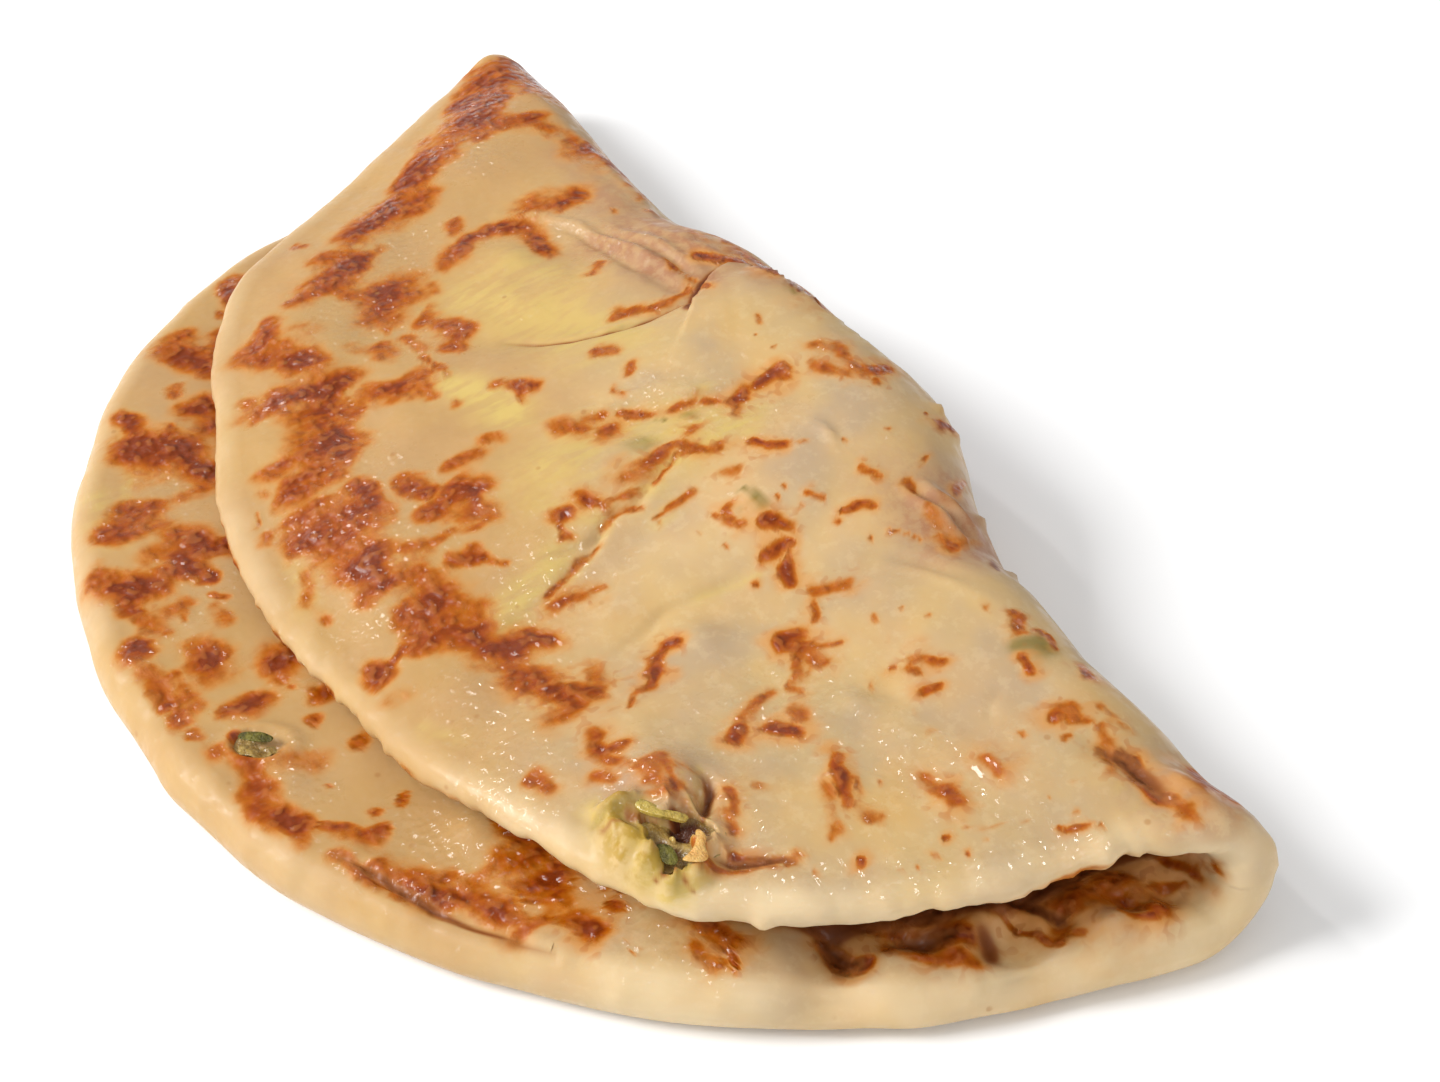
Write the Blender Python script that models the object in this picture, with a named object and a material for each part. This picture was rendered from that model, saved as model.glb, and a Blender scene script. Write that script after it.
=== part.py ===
"""Folded paratha: a stuffed flatbread, folded in half, with its filling showing at two small bursts.

The bread is modelled as a cook makes it. A round of dough is shaped flat, with a plump rim, and is then
folded over along the X axis. A point of the flat bread has a place along the fold (x), a distance from
the fold's back (s, negative in the lower layer and positive in the flap) and a height in the dough (w,
-1 on the inside of the fold and 1 on the outside). Metres, +Z up. The lower layer lies on the XY plane,
the fold's back faces +Y and both rims face -Y.
"""

import math

import bmesh
import bpy
import numpy as np
from mathutils import Matrix

MM = 0.001

# Outline, seen from above
RIM_RADIUS = 110 * MM             # the lower layer's rim is round
FOLD_LEFT_TIP_X = -123.5 * MM     # the left tip of the fold is pulled out to a point
FOLD_RIGHT_TIP_X = 112 * MM
FOLD_LINE_Y = 12.6 * MM           # where the fold's back would be if it were straight and flat
LEFT_PULL_WIDTH = math.radians(13)
RIGHT_PULL_WIDTH = math.radians(13)
RIM_DENTS = (                     # flatter stretches of the lower rim: bearing, depth and width
    (math.radians(158), 3.5 * MM, math.radians(13)),
    (math.radians(46), 1.5 * MM, math.radians(17)),
    (math.radians(84), 0.9 * MM, math.radians(10)),
)
# The flap's rim: bearing from the right tip in degrees, and distance from the fold's middle
FLAP_RIM = (
    (12, 112.5 * MM), (25, 114.3 * MM), (40, 115.5 * MM), (56, 106.5 * MM), (75, 99.8 * MM),
    (97, 97.3 * MM), (116, 97.2 * MM), (134, 102.3 * MM), (150, 101.5 * MM), (163, 106.5 * MM),
    (173, 112.0 * MM),
)

# Dough
LOWER_THICKNESS = 9.6 * MM
FLAP_THICKNESS = 7.4 * MM
FOLD_THICKNESS = 8.4 * MM
TIP_THINNING = 0.80               # share of the thickness that is left at the pulled tip
TIP_THINNING_REACH = 45 * MM
THICKNESS_BLEND = 35 * MM
FLAP_EDGE_SHARE = 0.66            # the flap ends in a thinner edge, the lower layer in a plump one
LOWER_EDGE_SHARE = 0.94
EDGE_BAND = 16 * MM
NOSE = 4.2 * MM                   # length of the rounding round the rim

# Fold
BACK_BULGE = 6.6 * MM             # the puffed middle stands out behind the tips
BACK_BULGE_SPAN = (-38 * MM, 31 * MM)
BACK_BULGE_SOFTNESS = 9 * MM
BACK_KNOB = 2.4 * MM              # most of all near the right end of the puffed stretch
BACK_KNOB_X = 18 * MM
BACK_KNOB_WIDTH = 14 * MM
BACK_DIP = 2.6 * MM
BACK_DIP_X = 66 * MM
BACK_DIP_WIDTH = 26 * MM
LEFT_TIP_BACK = 3.4 * MM
LEFT_TIP_BACK_WIDTH = 45 * MM
FOLD_RADIUS_LEFT = 6.2 * MM       # radius at the middle of the dough
FOLD_RADIUS_RIGHT = 8.2 * MM
FOLD_RADIUS_BULGE = 3.2 * MM
FOLD_BULGE_SOFTNESS = 18 * MM
FOLD_OPENING_SHARE = 0.62         # the fold is at its most open after this share of its length
STRAIGHTENING = 60 * MM           # how far from the fold the back's bulge still moves the dough
LAYER_GAP = 0.9 * MM              # between the flap and the layer below, where they rest
FALL_START = 25 * MM              # the flap comes down over this, plus FALL_SLOPE times its drop
FALL_SLOPE = 4.2
MOUTH_LIFT = 4.6 * MM             # the right front is open like a mouth
MOUTH_START_X = 28 * MM
MOUTH_LENGTH = 45 * MM

# Relief
LUMP_HEIGHT = 1.5 * MM
LUMP_COUNT = 46
LUMP_SEED = 11
LUMP_WIDTHS = (9 * MM, 17 * MM)
LUMP_CLEAR_START = 0.78           # the rim has no lumps: shares of the way from the fold's middle
LUMP_CLEAR_END = 0.98
PINCHES = (                       # where the lower rim is pressed in at the mouth: bearing and depth
    (math.radians(30.5), 2.6 * MM),
    (math.radians(24.5), 1.2 * MM),
    (math.radians(18), 2.8 * MM),
)
PINCH_WIDTH = math.radians(2.6)
PINCH_START = 0.78                # as a share of the way from the fold's middle to the rim
PINCH_END = 0.90
PINCH_CLEAR_S = 15 * MM           # no pinch nearer to the fold's back than this
CREASES = (                       # place along the fold and distance from its back, at both ends, and depth
    ((-17 * MM, 24 * MM), (-36 * MM, 55 * MM), 1.5 * MM),
    ((15 * MM, 31 * MM), (26 * MM, 66 * MM), 1.8 * MM),
    ((16 * MM, 12 * MM), (-6 * MM, 56 * MM), 1.2 * MM),
    ((-67 * MM, 28 * MM), (-24 * MM, 21 * MM), 1.3 * MM),
    ((40 * MM, 34 * MM), (36 * MM, 60 * MM), 1.0 * MM),
    ((90 * MM, 13 * MM), (100 * MM, 2 * MM), 2.0 * MM),
    ((50 * MM, 6 * MM), (44 * MM, 30 * MM), 1.0 * MM),
)
CREASE_WIDTH = 5.5 * MM
CREASE_FADE = 0.15                # how much of a half wave is left off at both ends of a crease
SKIN_STEP = 1.4 * MM              # a torn outer skin ends in a lip across the puffed stretch
SKIN_STEP_X = -20 * MM
SKIN_STEP_S = 13 * MM
SKIN_STEP_SHARPNESS = 5 * MM
SKIN_STEP_LENGTH = 34 * MM
SKIN_STEP_WIDTH = 16 * MM
BLISTER = 2.4 * MM                # a blister stands above the burst in the flap
BLISTER_PLACE = (66 * MM, 67 * MM)
BLISTER_WIDTH = 5.5 * MM
UNDERSIDE_S = -4 * MM             # relief starts here and is full after UNDERSIDE_BLEND
UNDERSIDE_BLEND = 12 * MM

# Bursts, where the filling shows
FLAP_BURST = {
    "place": (73.5 * MM, 72.3 * MM),   # place along the fold, and distance from its back
    "face": 1,                         # 1 is the outside of the fold, -1 the inside
    "size": (8.6 * MM, 6.4 * MM, 3.0 * MM),
    "turn": math.radians(-40),
}
LOWER_BURST = {
    "place": (20.6 * MM, -107.5 * MM),
    "face": -1,
    "size": (4.6 * MM, 3.2 * MM, 2.0 * MM),
    "turn": math.radians(60),
}
BURST_R = 0.9                     # both bursts are this share of the way out to the rim
FILLING_RISE = 0.45               # the filling stands out less than it goes in
FILLING_BUMPS = 0.12              # as shares of the filling's size
FILLING_SMALL_BUMPS = 0.072
FIT_GAP = 0.35 * MM               # between the dough and the filling
STRIP_GAP = 0.6 * MM              # between the filling and the pieces on it
STRIP_END_SHARE = 0.3             # a piece's width at its ends, as a share of its middle's
STRIP_WAVE = 0.05                 # how far a piece swings to its sides
ONION_HEIGHT = 0.9 * MM
HERB_HEIGHT = 0.5 * MM

# Mesh
GRID = 44                         # squares along each side of the sheet before it is made round
NOSE_STEPS = 6                    # bands round the rim
NORMAL_STEP = 0.4 * MM            # distance over which the surface's slope is measured
STRIP_GRID = 7
FILLING_SUBDIVISIONS = 3

# Colours
DOUGH = (0.74, 0.55, 0.30)
FILLING = (0.66, 0.55, 0.17)
ONION = (0.78, 0.66, 0.26)
HERB = (0.10, 0.13, 0.035)

FOLD_MIDDLE_X = (FOLD_LEFT_TIP_X + FOLD_RIGHT_TIP_X) / 2
HALF_FOLD = (FOLD_RIGHT_TIP_X - FOLD_LEFT_TIP_X) / 2


def smooth(t):
    """Soft step from 0 to 1."""
    t = np.clip(t, 0, 1)
    return t * t * (3 - 2 * t)


def bump(x, centre, width):
    """Round hill of height 1."""
    return np.exp(-((x - centre) / width) ** 2)


def plateau(x, span, softness):
    """1 within the span and 0 outside it, with soft ends."""
    return 0.5 * (np.tanh((x - span[0]) / softness) - np.tanh((x - span[1]) / softness))


def spline(points, at):
    """Smooth curve through points of (place, value), read at the places given."""
    places, values = np.array(points).T
    slopes = np.gradient(values, places)
    i = np.clip(np.searchsorted(places, at) - 1, 0, len(places) - 2)
    step = places[i + 1] - places[i]
    t = np.clip((at - places[i]) / step, 0, 1)
    rise = values[i] * (2 * t**3 - 3 * t**2 + 1) + values[i + 1] * (3 * t**2 - 2 * t**3)
    return rise + step * (slopes[i] * (t**3 - 2 * t**2 + t) + slopes[i + 1] * (t**3 - t**2))


def lower_rim(bearing):
    """Distance of the lower rim from the fold's middle: a circle with its tips moved and a few dents."""
    along = FOLD_MIDDLE_X * np.cos(bearing) - FOLD_LINE_Y * np.sin(bearing)
    offset = FOLD_MIDDLE_X**2 + FOLD_LINE_Y**2
    circle = -along + np.sqrt(RIM_RADIUS**2 - offset + along**2)
    half_chord = np.sqrt(RIM_RADIUS**2 - FOLD_LINE_Y**2)
    left_pull = -FOLD_LEFT_TIP_X - half_chord
    right_pull = FOLD_RIGHT_TIP_X - half_chord
    left = left_pull * bump(bearing, math.pi, LEFT_PULL_WIDTH)
    right = right_pull * bump(bearing, 0, RIGHT_PULL_WIDTH)
    dents = sum(depth * bump(bearing, place, width) for place, depth, width in RIM_DENTS)
    return circle + left + right - dents


def flap_rim(bearing):
    """Distance of the flap's rim from the fold's middle, the same as the lower rim's at both tips."""
    ends = [(math.radians(-12), FLAP_RIM[0][1]), (0.0, float(lower_rim(0.0)))]
    middle = [(math.radians(degrees), distance) for degrees, distance in FLAP_RIM]
    far = [(math.pi, float(lower_rim(math.pi))), (math.radians(187), FLAP_RIM[-1][1])]
    return spline(ends + middle + far, bearing)


def tip_share(x):
    """Share of the thickness left near the pulled tip."""
    return TIP_THINNING + (1 - TIP_THINNING) * smooth((x - FOLD_LEFT_TIP_X) / TIP_THINNING_REACH)


def thickness(x, s, r):
    """Thickness of the dough: thick below, thinner in the flap, and thinner again at the flap's edge."""
    side = smooth(np.abs(s) / THICKNESS_BLEND)
    layer = np.where(s < 0, LOWER_THICKNESS, FLAP_THICKNESS)
    edge = np.where(s < 0, LOWER_EDGE_SHARE, FLAP_EDGE_SHARE)
    to_edge = smooth(1 - (1 - r) * HALF_FOLD / EDGE_BAND) * smooth(np.abs(s) / EDGE_BAND)
    return (FOLD_THICKNESS + (layer - FOLD_THICKNESS) * side) * tip_share(x) * (1 - (1 - edge) * to_edge)


def fold_radius(x):
    """Radius of the fold at the middle of the dough: tight at the left tip, open at the right one."""
    t = np.clip((x - FOLD_LEFT_TIP_X) / (2 * HALF_FOLD), 0, 1)
    base = FOLD_RADIUS_LEFT + (FOLD_RADIUS_RIGHT - FOLD_RADIUS_LEFT) * smooth(t / FOLD_OPENING_SHARE)
    return base + FOLD_RADIUS_BULGE * plateau(x, BACK_BULGE_SPAN, FOLD_BULGE_SOFTNESS)


def fold_back(x):
    """Y of the outermost line of the fold's back."""
    bulge = BACK_BULGE * plateau(x, BACK_BULGE_SPAN, BACK_BULGE_SOFTNESS)
    knob = BACK_KNOB * bump(x, BACK_KNOB_X, BACK_KNOB_WIDTH)
    dip = BACK_DIP * bump(x, BACK_DIP_X, BACK_DIP_WIDTH)
    tip = LEFT_TIP_BACK * bump(x, FOLD_LEFT_TIP_X, LEFT_TIP_BACK_WIDTH)
    return FOLD_LINE_Y + bulge + knob - dip + tip


def middle_surface(x, s):
    """Place of the middle of the dough once it is folded, as an array of points."""
    radius = fold_radius(x)
    dough = FOLD_THICKNESS * tip_share(x)
    centre_y = fold_back(x) - dough / 2 - radius
    quarter = radius * math.pi / 2
    angle = np.clip(s / radius, -math.pi / 2, math.pi / 2)
    run = np.maximum(np.abs(s) - quarter, 0)
    excess = centre_y + quarter - FOLD_LINE_Y
    y = centre_y + radius * np.cos(angle) - run - excess * smooth(run / STRAIGHTENING)
    round_z = dough / 2 + radius * (1 + np.sin(angle))
    lower_z = thickness(x, s, 0) / 2
    top_z = dough / 2 + 2 * radius
    lift = MOUTH_LIFT * smooth((x - MOUTH_START_X) / MOUTH_LENGTH)
    rest_z = tip_share(x) * (LOWER_THICKNESS + FLAP_THICKNESS / 2) + LAYER_GAP + lift
    drop = top_z - rest_z
    fall = FALL_START + FALL_SLOPE * np.abs(drop)
    flap_z = top_z - drop * smooth(run / fall)
    z = np.where(run <= 0, round_z, np.where(s < 0, lower_z, flap_z))
    return np.stack([x, y, z], -1)


def outward(x, s):
    """Unit normal of the folded middle surface, out of the fold."""
    along = middle_surface(x + NORMAL_STEP, s) - middle_surface(x - NORMAL_STEP, s)
    across = middle_surface(x, s + NORMAL_STEP) - middle_surface(x, s - NORMAL_STEP)
    normal = np.cross(across, along)
    return normal / np.linalg.norm(normal, axis=-1, keepdims=True)


def lumps(x, s):
    """Soft lumps that the filling pushes up, between 0 and 1."""
    draw = np.random.default_rng(LUMP_SEED)
    height = np.zeros_like(x)
    for _ in range(LUMP_COUNT):
        centre_x, centre_s = draw.uniform(-1, 1, 2) * (HALF_FOLD, RIM_RADIUS)
        width = draw.uniform(*LUMP_WIDTHS)
        size = draw.uniform(0.3, 1.0)
        height = np.maximum(height, size * bump(np.hypot(x - centre_x, s - centre_s), 0, width))
    return height


def crease(x, s, start, end, depth):
    """Depth of a soft groove along the line from start to end."""
    line = np.subtract(end, start)
    along = np.clip(((x - start[0]) * line[0] + (s - start[1]) * line[1]) / (line @ line), 0, 1)
    distance = np.hypot(x - start[0] - along * line[0], s - start[1] - along * line[1])
    fade = np.sin(math.pi * (CREASE_FADE + (1 - 2 * CREASE_FADE) * along))
    return depth * bump(distance, 0, CREASE_WIDTH) * fade


def outer_relief(x, s, r):
    """How far the outer skin stands out of the plain dough, which stays flat underneath."""
    clear = 1 - smooth((r - LUMP_CLEAR_START) / (LUMP_CLEAR_END - LUMP_CLEAR_START))
    height = LUMP_HEIGHT * lumps(x, s) * clear
    for start, end, depth in CREASES:
        height = height - crease(x, s, start, end, depth)
    lip = smooth((x - SKIN_STEP_X) / SKIN_STEP_SHARPNESS) * bump(x, SKIN_STEP_X, SKIN_STEP_LENGTH)
    height = height + SKIN_STEP * lip * bump(s, SKIN_STEP_S, SKIN_STEP_WIDTH)
    from_blister = np.hypot(x - BLISTER_PLACE[0], s - BLISTER_PLACE[1])
    height = height + BLISTER * bump(from_blister, 0, BLISTER_WIDTH)
    return height * smooth((s - UNDERSIDE_S) / UNDERSIDE_BLEND)


def inner_relief(s, r, bearing):
    """How far the inner skin stands out: only the lower layer's rim is pinched in, at the mouth."""
    lower = smooth((-s - PINCH_CLEAR_S) / PINCH_CLEAR_S)
    near_rim = smooth((r - PINCH_START) / (PINCH_END - PINCH_START))
    depth = sum(depth * bump(bearing, place, PINCH_WIDTH) for place, depth in PINCHES)
    return -depth * near_rim * lower


def flat_bread(a, b, c):
    """Flat bread's places for points of a cube from -1 to 1, whose sides become the rim."""
    reach = np.maximum(np.abs(a), np.abs(b))
    wide = np.abs(a) >= np.abs(b)
    ratio = np.where(wide, b, a) / np.where(reach == 0, 1, np.where(wide, a, b))
    turn = np.where(wide, math.pi / 4 * ratio, math.pi / 2 - math.pi / 4 * ratio)
    sign = np.where(wide, np.sign(a), np.sign(b))
    p, q = sign * reach * np.cos(turn), sign * reach * np.sin(turn)
    bearing = np.arctan2(np.abs(q), p)
    rim = np.where(q > 0, flap_rim(bearing), lower_rim(bearing))
    inner = 1 - NOSE / rim
    r = np.where(np.abs(c) >= 1, reach * inner, inner + (1 - inner) * np.cos(c * math.pi / 2))
    height = np.where(np.abs(c) >= 1, c, np.sin(c * math.pi / 2))
    x = FOLD_MIDDLE_X + r * rim * np.cos(bearing)
    s = np.sign(q) * r * rim * np.sin(bearing)
    return x, s, r, bearing, height


def fold_bread(x, s, r, bearing, height):
    """Points of the folded bread for places in the flat one."""
    relief = np.where(height > 0, outer_relief(x, s, r), inner_relief(s, r, bearing))
    offset = height * (thickness(x, s, r) / 2) + height * relief
    place = middle_surface(x, s) + outward(x, s) * offset[:, None]
    place[:, 2] = np.maximum(place[:, 2], 0)
    return place


def material(name, colour, roughness):
    """Principled material with the piece's own colour."""
    made = bpy.data.materials.new(name)
    made.use_nodes = True
    shader = made.node_tree.nodes["Principled BSDF"]
    shader.inputs["Base Color"].default_value = (*colour, 1)
    shader.inputs["Roughness"].default_value = roughness
    shader.inputs["Metallic"].default_value = 0
    return made


def add_object(name, bm, finish):
    """Link a new object with its mesh and material, faces pointing out and shaded smooth."""
    bmesh.ops.recalc_face_normals(bm, faces=bm.faces)
    if bm.calc_volume(signed=True) < 0:
        bmesh.ops.reverse_faces(bm, faces=bm.faces)
    mesh = bpy.data.meshes.new(name)
    bm.to_mesh(mesh)
    bm.free()
    mesh.materials.append(finish)
    mesh.shade_smooth()
    made = bpy.data.objects.new(name, mesh)
    bpy.context.collection.objects.link(made)
    return made


def square_sheet(squares, bands):
    """Cube from -1 to 1 whose top and bottom are split into squares, and each of those into two alike."""
    bm = bmesh.new()
    bmesh.ops.create_cube(bm, size=2)
    level = [edge for edge in bm.edges if edge.verts[0].co.z == edge.verts[1].co.z]
    bmesh.ops.subdivide_edges(bm, edges=level, cuts=squares - 1, use_grid_fill=True)
    upright = [edge for edge in bm.edges if edge.verts[0].co.z != edge.verts[1].co.z]
    if bands > 1:
        bmesh.ops.subdivide_edges(bm, edges=upright, cuts=bands - 1, use_grid_fill=True)
    for face in list(bm.faces):
        corners = sorted(face.verts, key=lambda vertex: sum(vertex.co))
        bmesh.utils.face_split(face, corners[0], corners[-1])
    return bm


def shape(bm, places):
    """Move a mesh's vertices to their places."""
    for vertex, place in zip(bm.verts, places):
        vertex.co = place


def vertex_array(bm):
    """Vertices of a mesh as three arrays."""
    return np.array([vertex.co for vertex in bm.verts]).T


def burst_frame(burst):
    """Centre of a burst on the dough's surface, two directions along the surface, and its normal."""
    places = np.array(burst["place"]) + np.array([(0, 0), (MM, 0), (0, MM)])
    x, s = places.T
    normal = outward(x, s) * burst["face"]
    surface = middle_surface(x, s) + normal * thickness(x, s, BURST_R)[:, None] / 2
    along, across = surface[1:] - surface[0]
    first = math.cos(burst["turn"]) * along + math.sin(burst["turn"]) * across
    first /= np.linalg.norm(first)
    second = np.cross(normal[0], first) * burst["face"]
    return surface[0], first, second, normal[0]


def filling_surface(burst, directions, gap):
    """Places on the filling's lumpy surface, or a gap outside it, for directions in the burst's frame."""
    dx, dy, dz = directions
    large = np.sin(5 * dx + 1) * np.sin(6 * dy + 2)
    small = np.sin(9 * dx - 4 * dz) * np.cos(8 * dy)
    bumps = FILLING_BUMPS * large + FILLING_SMALL_BUMPS * small
    size = np.array(burst["size"])[:, None] * (1 + bumps)
    size[2] *= np.where(dz > 0, FILLING_RISE, 1)
    local = directions * (size + gap)
    centre, first, second, normal = burst_frame(burst)
    return centre + local.T @ np.stack([first, second, normal])


def build_filling(name, burst, gap, finish):
    """Lump of filling in a burst; with a gap it is the cutter that makes room for it."""
    bm = bmesh.new()
    bmesh.ops.create_icosphere(bm, subdivisions=FILLING_SUBDIVISIONS, radius=1)
    directions = vertex_array(bm)
    shape(bm, filling_surface(burst, directions / np.linalg.norm(directions, axis=0), gap))
    return add_object(name, bm, finish)


def build_strip(name, burst, start, end, width, height, finish):
    """Thin piece lying on the filling from start to end, places being shares of its half sizes."""
    bm = square_sheet(STRIP_GRID, 1)
    a, b, c = vertex_array(bm)
    line = np.subtract(end, start)
    side = np.array([-line[1], line[0]]) / np.linalg.norm(line)
    narrow = STRIP_END_SHARE + (1 - STRIP_END_SHARE) * np.sqrt(1 - a**2)
    plan = np.add(start, end)[:, None] / 2 + np.outer(line, a) / 2
    plan = plan + side[:, None] * (b * narrow * width + STRIP_WAVE * np.sin(2.6 * a))
    up = np.sqrt(1 - (plan**2).sum(0))
    directions = np.stack([*plan, up])
    directions /= np.linalg.norm(directions, axis=0)
    shape(bm, filling_surface(burst, directions, STRIP_GAP + height * (c + 1) / 2))
    return add_object(name, bm, finish)


def cut(target, cutter):
    """Cut one object out of another, and leave the cutter as a guide that isn't part of the model."""
    cutter.hide_render = True
    cutter.display_type = "WIRE"
    boolean = target.modifiers.new("burst", "BOOLEAN")
    boolean.operation = "DIFFERENCE"
    boolean.solver = "EXACT"
    boolean.object = cutter


def build_bread(dough):
    """The bread: a sheet with a rim, made round, thickened and folded over."""
    bm = square_sheet(GRID, NOSE_STEPS)
    shape(bm, fold_bread(*flat_bread(*vertex_array(bm))))
    return add_object("bread", bm, dough)


def centre_on_box(piece):
    """Move every mesh so that the origin is under the middle of one piece's box."""
    corners = np.array(piece.bound_box)
    middle = (corners.min(axis=0) + corners.max(axis=0)) / 2
    for made in bpy.data.objects:
        made.data.transform(Matrix.Translation((-middle[0], -middle[1], 0)))


def main():
    """Empty the scene and build every piece."""
    for old in list(bpy.data.objects):
        bpy.data.objects.remove(old)
    dough = material("dough", DOUGH, 0.5)
    filling = material("filling", FILLING, 0.45)
    onion = material("onion", ONION, 0.35)
    herb = material("herb", HERB, 0.5)

    bread = build_bread(dough)
    cut(bread, build_filling("flap_burst_cutter", FLAP_BURST, FIT_GAP, dough))
    cut(bread, build_filling("lower_burst_cutter", LOWER_BURST, FIT_GAP, dough))
    build_filling("filling_in_flap", FLAP_BURST, 0, filling)
    build_filling("filling_in_lower_layer", LOWER_BURST, 0, filling)
    for name, burst, start, end, width, height, finish in (
        ("onion_strip", FLAP_BURST, (-0.46, 0.32), (0.26, 0.26), 0.13, ONION_HEIGHT, onion),
        ("onion_curl", FLAP_BURST, (0.44, 0.12), (0.50, -0.52), 0.14, ONION_HEIGHT, onion),
        ("herb_leaf_on_flap", FLAP_BURST, (0.04, -0.28), (0.22, -0.66), 0.16, HERB_HEIGHT, herb),
        ("herb_leaf_on_lower_layer", LOWER_BURST, (-0.66, -0.10), (0.40, 0.12), 0.30, HERB_HEIGHT, herb),
    ):
        build_strip(name, burst, start, end, width, height, finish)
    centre_on_box(bread)


main()
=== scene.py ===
"""Stuffed flatbread folded in half, browned in spots, with its filling showing at two bursts.

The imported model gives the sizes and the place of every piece. The bread is made again here from the same
folding of a flat round of dough, finely enough for its cracks, blisters and torn edge, and it is coloured
from lists of the browned marks. All lengths are in metres.
"""

import logging
import math
from dataclasses import dataclass, field
from enum import Enum

import bpy
import numpy as np
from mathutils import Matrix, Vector


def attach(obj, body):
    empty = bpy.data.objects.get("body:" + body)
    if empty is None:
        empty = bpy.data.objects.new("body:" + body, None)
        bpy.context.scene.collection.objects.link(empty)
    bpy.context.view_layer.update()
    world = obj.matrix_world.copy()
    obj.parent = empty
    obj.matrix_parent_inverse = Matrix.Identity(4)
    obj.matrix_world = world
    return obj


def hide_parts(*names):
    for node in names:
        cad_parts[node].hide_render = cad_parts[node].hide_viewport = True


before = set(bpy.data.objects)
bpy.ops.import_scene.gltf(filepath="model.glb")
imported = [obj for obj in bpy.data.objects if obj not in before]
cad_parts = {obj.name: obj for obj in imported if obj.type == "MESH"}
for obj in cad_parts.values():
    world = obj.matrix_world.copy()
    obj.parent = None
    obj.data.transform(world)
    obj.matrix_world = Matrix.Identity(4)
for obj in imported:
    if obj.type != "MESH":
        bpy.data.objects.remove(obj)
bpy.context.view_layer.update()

MM = 0.001
BODY = "root"
# Lines at least this high or deep, in millimetres, get a finer mesh, and those cut in this deep get painted
# shade along them
DEEP_LINE = 0.8
# From the fold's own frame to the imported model's, whose origin is under the middle of its box
CENTRE_SHIFT = (5.464 * MM, 43.944 * MM)
LOG = logging.getLogger("flatbread")


class Face(Enum):
    """Which skin of the dough a mark is on."""

    OUTSIDE = 1
    INSIDE = -1


class Seed(Enum):
    """Seeds of the noise patterns."""

    RIM = 3
    TORN_SKIN = 5
    HOLES = 6
    RELIEF = 7
    MARKS = 17
    COLOURS = 23
    FILLING = 31


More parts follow.
